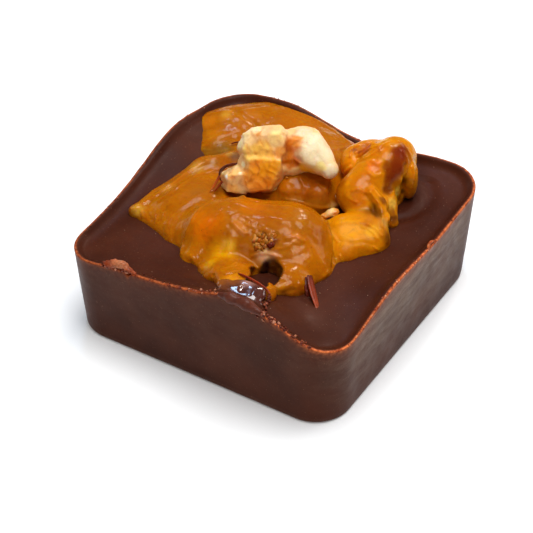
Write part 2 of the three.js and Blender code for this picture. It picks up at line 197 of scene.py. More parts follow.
def top_height(x, y):
    R, u = outline(x, y, INNER_HALF)
    rho = np.hypot(x, y) / R
    sink = SINK_MEAN + SINK_SWING * np.cos(u - SINK_TOWARDS)
    return level(x, y) + sink * CREEP * np.exp(-np.maximum((1 - rho) * R, 0) / CREEP_LENGTH)


# ------------------------------------------------------------------ mesh helpers
def to_object(name, P, faces, body="root", smooth=True):
    """An object from points in millimetres and faces of one length each."""
    me = bpy.data.meshes.new(name)
    P = np.asarray(P, np.float64) + SHIFT
    me.vertices.add(len(P))
    me.vertices.foreach_set("co", (P * MM).astype(np.float32).ravel())
    groups = faces if isinstance(faces, (list, tuple)) else [faces]
    groups = [np.asarray(g, np.int32) for g in groups if len(g)]
    loops = np.concatenate([g.ravel() for g in groups])
    sizes = np.concatenate([np.full(len(g), g.shape[1], np.int32) for g in groups])
    me.loops.add(len(loops))
    me.loops.foreach_set("vertex_index", loops)
    me.polygons.add(len(sizes))
    starts = np.concatenate([[0], np.cumsum(sizes)[:-1]]).astype(np.int32)
    me.polygons.foreach_set("loop_start", starts)
    me.polygons.foreach_set("loop_total", sizes)
    me.update(calc_edges=True)
    me.validate()
    if smooth:
        me.polygons.foreach_set("use_smooth", np.ones(len(me.polygons), bool))
    ob = bpy.data.objects.new(name, me)
    bpy.context.scene.collection.objects.link(ob)
    return ob


def paint(ob, name, values):
    """A value or colour a point, for the material to read."""
    values = np.asarray(values, np.float32)
    if values.ndim == 1:
        at = ob.data.attributes.new(name, "FLOAT", "POINT")
        at.data.foreach_set("value", values)
    else:
        at = ob.data.attributes.new(name, "FLOAT_COLOR", "POINT")
        rgba = np.concatenate([values, np.ones((len(values), 1), np.float32)], 1)
        at.data.foreach_set("color", rgba.ravel())


def surface_nets(F, origin, h):
    """Quads of the surface where F is 0, F negative inside."""
    S = F < 0
    n = np.array(F.shape)
    cell_ids, crossings, quads = [], [], []
    for ax in range(3):
        lo = [slice(None)] * 3
        hi = [slice(None)] * 3
        lo[ax], hi[ax] = slice(0, -1), slice(1, None)
        A, B = S[tuple(lo)], S[tuple(hi)]
        idx = np.argwhere(A != B)
        keep = np.ones(len(idx), bool)
        for o in range(3):
            if o != ax:
                keep &= (idx[:, o] > 0) & (idx[:, o] < n[o] - 1)
        idx = idx[keep]
        f0 = F[tuple(idx.T)]
        idx2 = idx.copy()
        idx2[:, ax] += 1
        f1 = F[tuple(idx2.T)]
        t = f0 / (f0 - f1)
        P = idx.astype(np.float64)
        P[:, ax] += t
        b, c = [(1, 2), (2, 0), (0, 1)][ax]
        around = []
        for db, dc in ((-1, -1), (0, -1), (0, 0), (-1, 0)):
            cell = idx.copy()
            cell[:, b] += db
            cell[:, c] += dc
            around.append((cell[:, 0] * n[1] + cell[:, 1]) * n[2] + cell[:, 2])
        around = np.stack(around, 1)
        inside_low = f0 < 0
        q = np.where(inside_low[:, None], around, around[:, ::-1])
        quads.append(q)
        cell_ids.append(around.ravel())
        crossings.append(np.repeat(P, 4, axis=0))
    ids = np.concatenate(cell_ids)
    X = np.concatenate(crossings)
    Q = np.concatenate(quads)
    uniq, inv = np.unique(ids, return_inverse=True)
    cnt = np.bincount(inv)
    V = np.stack([np.bincount(inv, X[:, k]) / cnt for k in range(3)], 1)
    Q = np.searchsorted(uniq, Q)
    return origin + V * h, Q


def grid_field(field, lo, hi, h, block=8):
    """The field on a grid, worked out in full only in the blocks that the surface crosses."""
    lo, hi = np.array(lo, float), np.array(hi, float)
    nb = np.ceil((hi - lo) / (h * block)).astype(int)
    n = nb * block
    B = np.stack(np.meshgrid(*[np.arange(k) for k in nb], indexing="ij"), -1).reshape(-1, 3)
    mid = lo + (B * block + (block - 1) / 2) * h
    f = field(mid)
    near = np.abs(f) < block * h * 0.87 * 1.35 + 0.25
    F = np.empty(n, np.float32)
    V = F.reshape(nb[0], block, nb[1], block, nb[2], block)
    V[:] = f.reshape(nb)[:, None, :, None, :, None]
    off = np.stack(np.meshgrid(*[np.arange(block)] * 3, indexing="ij"), -1).reshape(-1, 3)
    idx = B[near]
    for s in range(0, len(idx), 600):
        part = idx[s : s + 600]
        P = lo + ((part[:, None, :] * block + off[None]) * h)
        val = field(P.reshape(-1, 3)).reshape(-1, block, block, block)
        V[part[:, 0], :, part[:, 1], :, part[:, 2], :] = val
    return F, lo


def settle(field, V, rounds=2, eps=0.02):
    """Points moved on to the surface where field is 0."""
    for _ in range(rounds):
        f = field(V)
        g = np.stack([field(V + d) - field(V - d) for d in np.eye(3) * eps], 1) / (2 * eps)
        g2 = np.maximum((g**2).sum(1), 0.05)
        V = V - np.clip(f / g2, -0.06, 0.06)[:, None] * g
    return V


def normals_of(field, V, eps=0.05):
    g = np.stack([field(V + d) - field(V - d) for d in np.eye(3) * eps], 1)
    return g / np.maximum(np.linalg.norm(g, axis=1), 1e-9)[:, None]


def biggest(V, Q):
    """Only the largest connected part."""
    parent = np.arange(len(V))
    edges = np.concatenate([Q[:, [0, 1]], Q[:, [1, 2]], Q[:, [2, 3]], Q[:, [3, 0]]])
    while True:
        a, b = parent[edges[:, 0]], parent[edges[:, 1]]
        if (a == b).all():
            break
        m = np.minimum(a, b)
        np.minimum.at(parent, a, m)
        np.minimum.at(parent, b, m)
        while True:
            up = parent[parent]
            if (up == parent).all():
                break
            parent = up
    roots, count = np.unique(parent, return_counts=True)
    keep = parent == roots[count.argmax()]
    remap = np.cumsum(keep) - 1
    Q = Q[keep[Q].all(1)]
    return V[keep], remap[Q]


# ------------------------------------------------------------------ lumps and strands
def turned(turn, tilt=0.0, roll=0.0):
    a, b, c = np.radians([turn, tilt, roll])
    Rz = np.array([[np.cos(a), -np.sin(a), 0], [np.sin(a), np.cos(a), 0], [0, 0, 1]])
    Ry = np.array([[np.cos(b), 0, np.sin(b)], [0, 1, 0], [-np.sin(b), 0, np.cos(b)]])
    Rx = np.array([[1, 0, 0], [0, np.cos(c), -np.sin(c)], [0, np.sin(c), np.cos(c)]])
    return Rz @ Ry @ Rx


def lump(centre, half, turn=31, melt=1.0, tilt=0.0, roll=0.0):
    R = turned(turn, tilt, roll)
    c, r = np.array(centre, float), np.array(half, float)

    def f(P):
        q = ((P - c) @ R) / r
        k0 = np.sqrt((q * q).sum(-1))
        q /= r
        k1 = np.sqrt((q * q).sum(-1))
        return k0 * (k0 - 1) / np.maximum(k1, 1e-6)

    return f, melt


def brick(centre, half, soft, turn=31, melt=1.0, tilt=0.0, roll=0.0):
    """A block with its edges rounded by soft."""
    R = turned(turn, tilt, roll)
    c, r = np.array(centre, float), np.array(half, float) - soft

    def f(P):
        q = np.abs((P - c) @ R) - r
        return np.linalg.norm(np.maximum(q, 0), axis=-1) + np.minimum(q.max(-1), 0) - soft

    return f, melt


def chunk(centre, half, turn, melt, cuts, soft=0.16):
    """A lump with broken faces: it is cut off flat at a distance from its middle along each
    direction."""
    g, _ = lump(centre, half, turn)
    c = np.array(centre, float)

    def f(P):
        v = g(P)
        for n, r in cuts:
            v = smax(v, (P - c) @ np.array(n) - r, soft)
        return v

    return f, melt


def strand(a, b, ra, rb, melt=0.6):
    a, b = np.array(a, float), np.array(b, float)
    d = b - a

    def f(P):
        q = P - a
        t = np.clip((q @ d) / (d @ d), 0, 1)
        return np.sqrt(((q - t[:, None] * d) ** 2).sum(-1)) - (ra + (rb - ra) * t)

    return f, melt


def thread(points, radii, melt=0.4):
    """A strand through several points."""
    return [strand(points[i], points[i + 1], radii[i], radii[i + 1], melt if i else melt) for i in range(len(points) - 1)]


def smin(a, b, k):
    h = np.clip(0.5 + 0.5 * (b - a) / k, 0, 1)
    return b + (a - b) * h - k * h * (1 - h)


def smax(a, b, k):
    return -smin(-a, -b, k)


def mass(parts, P):
    f = None
    for g, k in parts:
        v = g(P)
        f = v if f is None else smin(f, v, k)
    return f


CARAMEL = [
    lump([-13.64, 11.35, 10.3], [4.3, 4.4, 2.9], 31, 1.2),
    lump([-12.8, 8.06, 10.3], [3.2, 3.4, 2.3], 31, 1.0),
    lump([-10.42, 14.11, 10.4], [5.2, 4.6, 2.9], 25, 1.6),
    lump([-5.53, 14.8, 10.2], [5.0, 4.2, 2.7], 10, 1.6),
    lump([-1.37, 14.28, 10.2], [3.4, 3.0, 2.4], -10, 1.2),
    lump([-3.41, 8.08, 11.0], [7.6, 6.2, 3.0], 31, 2.0),
    lump([0.12, 4.89, 11.0], [5.6, 4.0, 2.6], 31, 1.5),
    strand([-14.77, -6.89, 10.6], [-11.41, 2.72, 11.3], 0.6, 1.6, 0.6),
    strand([-11.41, 2.72, 11.3], [-7.67, 5.5, 12.0], 1.6, 1.9, 1.0),
    strand([-14.03, -6.78, 10.4], [-8.13, -8.26, 10.4], 0.9, 1.5, 0.8),
    lump([-11.05, -3.93, 10.0], [3.6, 3.4, 2.3], 5, 1.2),
    lump([-8.63, -2.61, 10.4], [4.4, 5.8, 2.9], 5, 1.4),
    lump([-7.23, -6.8, 10.2], [2.6, 3.4, 2.1], 5, 1.0),
    lump([-1.68, -5.49, 11.2], [6.4, 4.9, 4.3], 25, 1.0),
    lump([3.22, -3.73, 11.2], [5.5, 5.4, 4.3], 31, 1.2),
    lump([6.22, -5.92, 10.6], [4.2, 3.6, 2.7], 31, 1.2),
    lump([-3.21, -9.67, 10.6], [3.0, 2.4, 2.1], 31, 1.0),
    lump([6.6, -9.9, 11.0], [3.4, 2.2, 2.1], 31, 1.0),
    lump([0.4, -11.2, 11.0], [3.2, 2.2, 1.9], 31, 1.0),
    lump([2.6, -13.0, 12.0], [3.4, 2.6, 1.6], 31, 1.2),
    lump([3.6, -14.6, 12.8], [3.2, 2.2, 1.2], 31, 1.0),
    lump([5.8, -14.0, 12.6], [2.4, 1.9, 1.3], 31, 1.0),
    lump([-16.43, 11.30, 11.20], [1.15, 1.15, 1.15], 31, 0.7),
    lump([-14.58, 8.44, 11.00], [1.2, 1.2, 1.1], 31, 0.7),
    lump([-13.30, 6.03, 10.80], [1.1, 1.1, 0.9], 31, 0.6),
    lump([0.11, 14.74, 11.50], [1.6, 1.2, 0.9], 31, 0.6),
]
HOLE = [
    lump([5.14, -10.51, 13.80], [1.8, 2.05, 6], 31, 1),
    lump([5.73, -13.56, 13.60], [1.1, 1.3, 6], 31, 1),
]
NOTCH = [
    lump([0.18, -16.53, 12.60], [2, 2.2, 6], 31, 1),
    lump([1.84, -17.32, 12.80], [1.4, 1.2, 6], 31, 1),
]
NUT_TOP = [
    chunk([-4.17, 3.21, 17.60], [3.4, 2.8, 3.2], 31, 0.3, [((0.43, -0.79, 0.43), 1.7), ((-0.74, -0.57, 0.35), 2.05), ((-0.14, 0.03, 0.99), 2), ((-0.42, -0.84, -0.35), 2.15), ((-0.29, -0.59, 0.75), 2), ((-0.52, 0.85, 0.00), 1), ((-0.61, -0.14, 0.78), 2.15), ((0.24, -0.38, -0.89), 2.4)], 0.28),
    chunk([-2.78, 4.16, 17.40], [2.9, 2.5, 2.9], 31, 0.35, [((0.53, -0.64, 0.55), 1.6), ((-0.02, 0.22, 0.97), 1.85), ((0.88, -0.47, 0.00), 1.75), ((-0.52, 0.85, 0.00), 1), ((0.84, 0.51, 0.20), 2.2), ((0.24, -0.38, -0.89), 2.4), ((0.65, 0.28, 0.70), 2)], 0.28),
    chunk([-2.80, 1.83, 14.95], [3.4, 2.9, 3.3], 31, 0.3, [((0.45, -0.84, 0.31), 1.24), ((0.97, -0.18, -0.15), 1.75), ((0.47, -0.54, -0.70), 1.95), ((0.79, 0.60, 0.15), 2.15), ((-0.46, -0.86, 0.20), 2.1), ((-0.04, -0.32, -0.95), 2.2), ((0.05, -0.08, 1.00), 2.4), ((-0.52, 0.85, 0.00), 2)], 0.22),
    chunk([-5.45, 0.11, 14.10], [2.4, 2.2, 2.4], 31, 0.25, [((-0.02, -0.19, 0.98), 1.25), ((0.40, -0.88, 0.25), 0.85), ((0.12, -0.40, -0.91), 1.3), ((-0.61, -0.78, 0.10), 1.18), ((-0.04, -0.91, 0.41), 1.15), ((-0.52, 0.85, 0.00), 1.2), ((0.85, 0.52, 0.00), 1.2), ((-0.56, -0.23, 0.80), 1.25)], 0.14),
    chunk([-1.68, 5.19, 16.90], [2.3, 2.1, 2.3], 31, 0.45, [((0.46, -0.66, 0.60), 1.6), ((-0.05, 0.08, 1.00), 1.5), ((-0.52, 0.85, 0.00), 1.4)], 0.3),
    chunk([-1.11, 4.90, 15.90], [2.1, 2, 2.1], 31, 0.45, [((0.53, -0.68, 0.50), 1.55)], 0.3),
    chunk([-0.50, 6.49, 17.10], [2.3, 2.2, 2.2], 31, 0.6, [((0.23, -0.27, 0.93), 1.85), ((0.28, -0.84, 0.46), 1.85), ((-0.16, 0.26, 0.95), 1.8)], 0.5),
    chunk([1.45, 5.64, 16.70], [2.15, 2.1, 2.2], 31, 0.8, [((0.64, -0.48, 0.60), 1.75), ((0.64, 0.39, 0.65), 1.65), ((0.23, -0.76, -0.61), 1.7)], 0.5),
    strand([1.73, 5.85, 16.40], [3.64, 5.27, 15.90], 1.62, 1.08, 0.7),
]
NUT_RIGHT = [
    strand([8.34, 12.12, 15.00], [8.05, 10.54, 14.90], 2.45, 2.5, 1),
    strand([8.15, 10.37, 14.90], [7.11, 5.87, 13.30], 2.55, 2.45, 1.2),
    lump([4.03, 10.10, 13.90], [1.5, 2.2, 1.8], 31, 0.6),
    lump([5.77, 11.61, 14.90], [2.6, 2, 1.5], 31, 0.6),
    lump([7.54, 9.83, 11.60], [3.1, 3.2, 2.6], 31, 1.2),
    chunk([9.03, 10.74, 13.60], [1.9, 2.4, 3], 31, 0.5, [((0.96, -0.12, 0.25), 1.35)], 0.3),
    lump([10.58, 11.48, 13.30], [1, 1.7, 2.5], 31, 0.2),
    strand([9.07, 5.26, 14.90], [10.29, 5.18, 13.90], 0.6, 0.55, 0.5),
    strand([10.29, 5.18, 13.90], [11.48, 4.03, 12.90], 0.55, 0.5, 0.4),
    strand([11.48, 4.03, 12.90], [12.10, 2.05, 12.10], 0.5, 0.4, 0.35),
    strand([10.09, 7.03, 12.60], [11.48, 5.77, 11.30], 1.3, 0.8, 0.9),
    lump([8.62, 5.06, 12.60], [2.2, 2, 1.8], 31, 1),
]
NUT_LOW = [
    chunk([9.61, 1.32, 11.70], [3.5, 2.5, 2.2], 31, 0.9, [((0.20, -0.23, 0.95), 1.45)], 0.6),
    chunk([11.34, 1.44, 11.20], [2, 1.8, 1.9], 31, 0.8, [((0.24, -0.20, 0.95), 1.3)], 0.5),
    lump([9.40, -1.16, 10.90], [1.9, 1.9, 1.5], 31, 0.9),
    lump([8.04, 1.37, 12.00], [2, 1.7, 1.4], 31, 0.9),
    lump([9.72, 3.36, 12.20], [2, 1.7, 1.3], 31, 1),
    lump([9.28, -2.69, 10.50], [0.9, 1, 0.7], 31, 0.5),
    lump([10.73, 0.09, 10.60], [2, 1.4, 1.2], 31, 0.8),
]
NUT_MIDDLE = [
    chunk([1.45, 4.41, 12.70], [3.2, 2.5, 2.4], 31, 0.55, [((0.28, -0.36, 0.89), 1.55), ((0.55, -0.81, 0.20), 1.9), ((0.94, 0.34, 0.10), 2.5)], 0.45),
    chunk([0.33, 3.64, 12.90], [2.2, 2.2, 2], 31, 0.6, [((0.12, -0.40, 0.91), 1.4), ((0.51, -0.84, 0.20), 1.5)], 0.4),
]


# Lines of ridges and creases (points, height, width) and soft spots of colour
# (middle, radius, colour, strength), in millimetres.
CARAMEL_FOLDS = [
    ([(-14.36, -7.31, 11.40), (-14.06, -6.14, 11.61), (-13.60, -5.19, 11.89), (-13.00, -4.02, 12.36), (-12.59, -2.58, 12.59), (-12.32, -0.95, 12.64), (-11.95, 0.58, 12.81), (-11.59, 1.71, 13.09), (-11.07, 2.40, 13.28)], 0.2, 0.34),
    ([(-12.26, -5.53, 12.22), (-11.76, -4.83, 12.67), (-11.40, -3.93, 12.94), (-11.17, -2.65, 13.05), (-11.12, -1.29, 12.91), (-10.86, 0.17, 12.78), (-10.20, 1.26, 12.78), (-9.51, 2.30, 12.81), (-8.61, 2.81, 12.83)], 0.17, 0.24),
    ([(-13.33, -5.61, 11.56), (-12.47, -4.20, 12.26), (-11.95, -2.33, 12.54), (-11.72, -0.20, 12.54), (-10.97, 1.81, 12.84), (-10.02, 2.89, 12.95)], -0.12, 0.26),
    ([(-8.89, -9.14, 11.75), (-9.29, -8.12, 12.17), (-9.41, -6.93, 12.46), (-9.06, -5.82, 12.85), (-8.45, -4.69, 13.20), (-7.99, -3.34, 13.35), (-7.34, -1.88, 13.22)], 0.1, 0.34),
    ([(-7.46, -9.70, 11.31), (-8.00, -8.65, 12.07), (-8.25, -7.05, 12.45), (-8.14, -5.59, 12.79), (-7.69, -4.22, 13.06)], -0.1, 0.3),
    ([(-13.75, -7.00, 11.45), (-13.30, -7.47, 11.37), (-12.91, -7.84, 11.20)], 0.14, 0.18),
    ([(-11.11, -7.43, 11.95), (-10.90, -7.96, 11.83), (-10.76, -8.38, 11.60)], 0.14, 0.18),
    ([(-10.43, -7.03, 12.25), (-9.97, -7.92, 12.04)], 0.1, 0.18),
    ([(-12.68, -7.17, 11.43), (-11.59, -7.96, 11.40)], -0.1, 0.22),
    ([(-16.72, 10.38, 12.44), (-16.34, 11.10, 12.73), (-15.53, 11.63, 13.00), (-14.37, 12.03, 13.33), (-13.39, 12.05, 13.39)], 0.12, 0.34),
    ([(-12.54, 12.92, 13.46), (-11.86, 13.85, 13.44), (-11.00, 14.72, 13.39), (-9.93, 15.94, 13.19), (-8.87, 16.97, 12.83), (-7.77, 17.00, 12.77), (-6.33, 17.15, 12.62), (-4.81, 16.91, 12.60), (-3.28, 16.65, 12.45), (-1.74, 16.36, 12.33), (0.04, 15.38, 12.59)], 0.13, 0.32),
    ([(-13.21, 12.42, 13.23), (-12.06, 12.16, 13.23), (-10.94, 11.93, 13.06), (-9.95, 11.69, 12.84)], -0.16, 0.36),
    ([(-14.14, 6.63, 12.21), (-13.04, 7.53, 12.64), (-12.13, 8.96, 12.83), (-11.48, 10.12, 12.94)], 0.09, 0.26),
    ([(-13.29, 5.96, 11.93), (-12.03, 7.05, 12.31), (-10.98, 8.90, 12.43)], -0.1, 0.3),
    ([(-15.29, 8.39, 12.29), (-14.05, 8.88, 12.74), (-13.01, 10.35, 13.10)], -0.06, 0.3),
    ([(-10.97, 2.46, 13.29), (-10.58, 3.34, 13.31), (-9.77, 4.00, 13.49), (-9.05, 4.80, 13.70)], 0.14, 0.18),
    ([(-11.20, 7.49, 12.50), (-10.88, 8.07, 12.55)], 0.1, 0.15),
    ([(-13.32, 5.36, 11.72), (-12.47, 5.99, 11.93), (-11.07, 6.85, 12.22), (-9.01, 5.81, 13.37)], -0.14, 0.34),
    ([(-0.23, 12.09, 13.37), (0.30, 11.88, 13.27), (0.79, 13.37, 12.82), (0.94, 15.00, 12.44)], 0.14, 0.2),
    ([(0.41, 11.69, 13.15), (1.15, 11.58, 12.93), (1.00, 13.49, 12.54)], -0.12, 0.24),
    ([(-0.63, 13.26, 13.21), (0.21, 14.15, 12.83)], 0.08, 0.18),
    ([(-10.28, 12.66, 13.29), (-8.78, 14.08, 13.28), (-7.10, 15.18, 13.09), (-5.00, 14.90, 13.02)], 0.07, 0.4),
    ([(-10.53, 13.96, 13.29), (-8.97, 15.52, 13.07), (-7.24, 16.34, 12.77)], -0.05, 0.35),
    ([(-5.35, -11.45, 11.57), (-6.04, -10.21, 11.83), (-5.97, -9.45, 12.89), (-5.93, -8.48, 13.80), (-5.98, -7.17, 14.30), (-5.87, -5.93, 14.50), (-5.46, -4.93, 14.57), (-6.04, -2.04, 12.85), (-5.51, -0.57, 12.25), (-2.23, -2.98, 15.00), (-0.68, -2.95, 15.18)], 0.2, 0.2),
    ([(-0.68, -2.95, 15.18), (0.78, -3.01, 15.26), (2.30, -2.56, 15.43), (4.19, -1.86, 15.32), (5.54, -0.90, 14.53), (6.75, -0.98, 13.83)], 0.1, 0.34),
    ([(-4.28, -7.76, 14.41), (-3.99, -9.03, 13.71), (-2.92, -9.92, 12.95)], -0.34, 1.3),
    ([(-4.82, -11.05, 11.94), (-5.18, -9.67, 12.81), (-5.08, -8.36, 13.93), (-4.76, -7.01, 14.55)], -0.1, 0.34),
    ([(-2.75, -4.83, 15.45), (-1.41, -4.68, 15.48), (-0.14, -4.65, 15.41)], 0.1, 0.22),
    ([(-3.24, -6.92, 15.25), (-3.14, -6.06, 15.41), (-2.61, -5.66, 15.50)], 0.09, 0.13),
    ([(-3.21, -7.38, 15.01), (-2.80, -6.99, 15.33)], 0.07, 0.12),
    ([(-1.46, -7.05, 15.37), (-1.01, -6.33, 15.49), (-0.00, -6.31, 15.33), (0.70, -6.20, 15.27)], 0.13, 0.2),
    ([(-0.96, -7.64, 15.14), (-0.08, -7.83, 14.80), (0.74, -7.92, 14.51)], 0.15, 0.26),
    ([(-0.86, -7.00, 15.16), (0.08, -7.05, 14.89)], -0.12, 0.16),
    ([(0.51, -6.93, 14.99), (1.27, -6.91, 14.87)], 0.1, 0.14),
    ([(5.21, -6.49, 14.71), (5.84, -5.65, 14.81), (6.74, -5.48, 14.38)], 0.15, 0.24),
    ([(4.65, -7.85, 13.88), (5.53, -7.24, 14.11), (6.05, -6.21, 14.45)], 0.11, 0.16),
    ([(5.78, -6.60, 14.33), (6.74, -6.10, 13.98)], -0.08, 0.2),
    ([(5.56, -4.56, 14.92), (6.68, -4.31, 14.39), (7.81, -4.50, 13.60)], -0.1, 0.5),
    ([(2.34, -9.07, 12.77), (3.02, -8.72, 13.24), (3.76, -8.46, 13.51), (4.55, -8.31, 13.46), (5.41, -8.28, 13.39)], 0.2, 0.22),
    ([(0.76, -14.19, 13.05), (2.30, -14.19, 13.87), (3.23, -13.08, 13.75), (3.51, -11.13, 13.05)], -0.24, 0.18),
    ([(1.05, -13.24, 13.48), (1.67, -12.62, 13.59), (1.72, -11.11, 13.24)], 0.1, 0.13),
    ([(0.16, -13.05, 13.23), (0.06, -11.31, 13.08), (-0.00, -9.61, 13.27), (-0.17, -8.92, 14.12)], 0.16, 0.5),
    ([(-0.73, -10.10, 12.74), (-0.64, -9.40, 13.55), (-1.07, -8.91, 14.15)], -0.1, 0.28),
    ([(-3.91, -11.63, 12.03), (-3.00, -12.05, 11.58), (-1.60, -12.96, 12.13)], 0.1, 0.18),
    ([(-4.45, -11.83, 11.51), (-3.53, -12.03, 11.34)], -0.08, 0.16),
    ([(-3.06, -11.33, 12.04), (-1.34, -12.37, 12.39)], -0.08, 0.18),
    ([(8.96, -9.78, 12.37), (9.65, -7.98, 11.24), (9.83, -7.03, 11.34), (10.10, -5.77, 11.55)], 0.1, 0.24),
    ([(7.31, -13.61, 13.71), (7.51, -11.50, 12.28), (8.40, -10.52, 12.52)], 0.12, 0.3),
    ([(7.83, -11.42, 11.80), (8.68, -10.56, 11.97)], -0.1, 0.2),
    ([(6.94, -0.41, 13.10), (8.22, -1.71, 12.41), (9.20, -3.15, 11.56), (9.90, -4.77, 11.31)], -0.22, 0.26),
    ([(6.99, -9.62, 13.21), (7.82, -7.88, 12.89), (8.25, -6.10, 13.22), (7.93, -4.28, 13.50)], 0.1, 0.7),
    ([(2.00, -4.99, 15.41), (3.62, -4.72, 15.47), (5.08, -3.77, 15.30)], 0.06, 0.4),
]
LOW_FOLDS = [
    ([(7.66, -0.13, 13.35), (8.48, 0.65, 13.58), (9.56, 1.42, 13.51), (10.76, 1.76, 13.35)], 0.12, 0.28),
    ([(10.31, 1.23, 13.24), (11.33, 1.23, 12.97), (12.37, 0.95, 12.61)], 0.14, 0.18),
    ([(10.60, 1.81, 13.40), (11.60, 1.85, 13.08), (12.54, 1.54, 12.70)], 0.12, 0.16),
    ([(10.82, 1.23, 13.04), (11.83, 1.02, 12.76)], -0.12, 0.13),
    ([(8.84, -1.48, 12.51), (10.17, -1.15, 12.42), (11.18, -0.27, 12.38), (12.38, 0.31, 12.07)], -0.1, 0.34),
    ([(7.45, -1.07, 13.20), (8.14, -1.37, 12.71), (8.81, -1.64, 12.47)], 0.12, 0.16),
    ([(4.39, 3.55, 11.81), (4.80, 4.20, 11.69), (5.16, 4.93, 11.63)], 0.16, 0.22),
    ([(9.75, -2.80, 11.70), (10.23, -2.95, 11.16)], 0.1, 0.15),
    ([(12.48, 0.13, 11.95), (12.88, 0.34, 11.56)], 0.1, 0.14),
]
RIGHT_FOLDS = [
    ([(4.10, 8.03, 13.75), (4.73, 8.25, 14.85), (5.80, 8.13, 16.03), (6.88, 8.44, 16.95), (7.61, 9.39, 17.60), (7.93, 11.10, 17.77)], 0.2, 0.17),
    ([(4.54, 9.67, 15.84), (5.34, 10.29, 16.32), (6.50, 10.47, 17.34)], 0.26, 0.15),
    ([(4.96, 9.41, 15.46), (6.09, 9.41, 16.60), (7.11, 9.83, 17.42)], -0.24, 0.15),
    ([(4.06, 10.29, 15.97), (4.67, 11.02, 16.31), (5.37, 11.62, 16.48)], 0.22, 0.15),
    ([(4.22, 9.10, 15.52), (3.95, 10.03, 15.81), (4.36, 10.66, 16.14)], 0.18, 0.14),
    ([(5.16, 9.73, 15.90), (6.38, 9.78, 17.17), (6.28, 12.31, 16.68)], 0.12, 0.14),
    ([(8.70, 12.05, 17.61), (9.71, 11.87, 17.27), (10.49, 11.68, 16.58), (11.00, 11.51, 15.77)], 0.15, 0.18),
    ([(9.79, 11.02, 17.28), (10.55, 10.86, 16.56), (10.90, 10.07, 15.52), (10.76, 9.24, 14.60), (10.61, 8.91, 13.34)], 0.16, 0.2),
    ([(10.54, 10.22, 15.98), (10.66, 9.62, 14.87), (10.48, 9.91, 12.92), (10.45, 9.35, 11.57)], -0.35, 0.26),
    ([(11.12, 11.05, 15.68), (11.68, 10.59, 14.65), (11.65, 10.08, 13.28)], 0.12, 0.2),
    ([(9.29, 4.72, 15.27), (10.42, 4.57, 14.42), (11.37, 3.81, 13.64), (12.11, 2.51, 13.12)], 0.17, 0.16),
    ([(8.76, 4.55, 14.75), (9.80, 4.34, 13.91), (10.84, 3.42, 13.39)], -0.14, 0.24),
    ([(10.25, 6.49, 14.08), (11.11, 5.69, 13.26), (12.17, 3.77, 13.14)], 0.14, 0.2),
    ([(7.92, 6.62, 16.28), (8.68, 6.66, 16.00), (9.09, 7.30, 16.02)], 0.12, 0.22),
    ([(7.50, 8.03, 16.89), (8.30, 7.96, 16.83)], 0.1, 0.24),
    ([(7.32, 4.15, 15.13), (7.84, 4.56, 15.35), (8.56, 4.66, 15.15)], 0.12, 0.22),
    ([(7.45, 3.51, 14.34), (8.22, 3.52, 14.23)], 0.1, 0.18),
    ([(5.91, 5.48, 15.53), (6.36, 4.26, 15.10), (7.03, 3.57, 14.41)], 0.1, 0.4),
    ([(9.80, 4.34, 13.91), (10.38, 3.56, 13.39)], -0.22, 0.3),
    ([(8.91, 8.26, 16.59), (9.64, 7.50, 15.28), (10.17, 6.41, 14.09)], -0.08, 0.4),
    ([(10.07, 7.46, 14.64), (10.49, 8.16, 13.79), (10.97, 6.60, 13.59)], 0.12, 0.25),
]
MIDDLE_FOLDS = [
    ([(0.29, 1.40, 12.85), (1.59, 1.86, 12.79), (2.85, 2.39, 12.38), (3.82, 2.97, 11.96), (4.52, 3.78, 11.85)], 0.13, 0.18),
    ([(0.88, 3.67, 14.58), (2.11, 2.94, 13.85), (2.16, 2.44, 13.06)], 0.1, 0.26),
    ([(3.09, 4.36, 14.02), (4.03, 4.33, 13.42), (4.50, 4.25, 12.10)], 0.12, 0.2),
    ([(0.25, 2.55, 14.06), (1.06, 2.09, 13.28)], -0.08, 0.3),
]
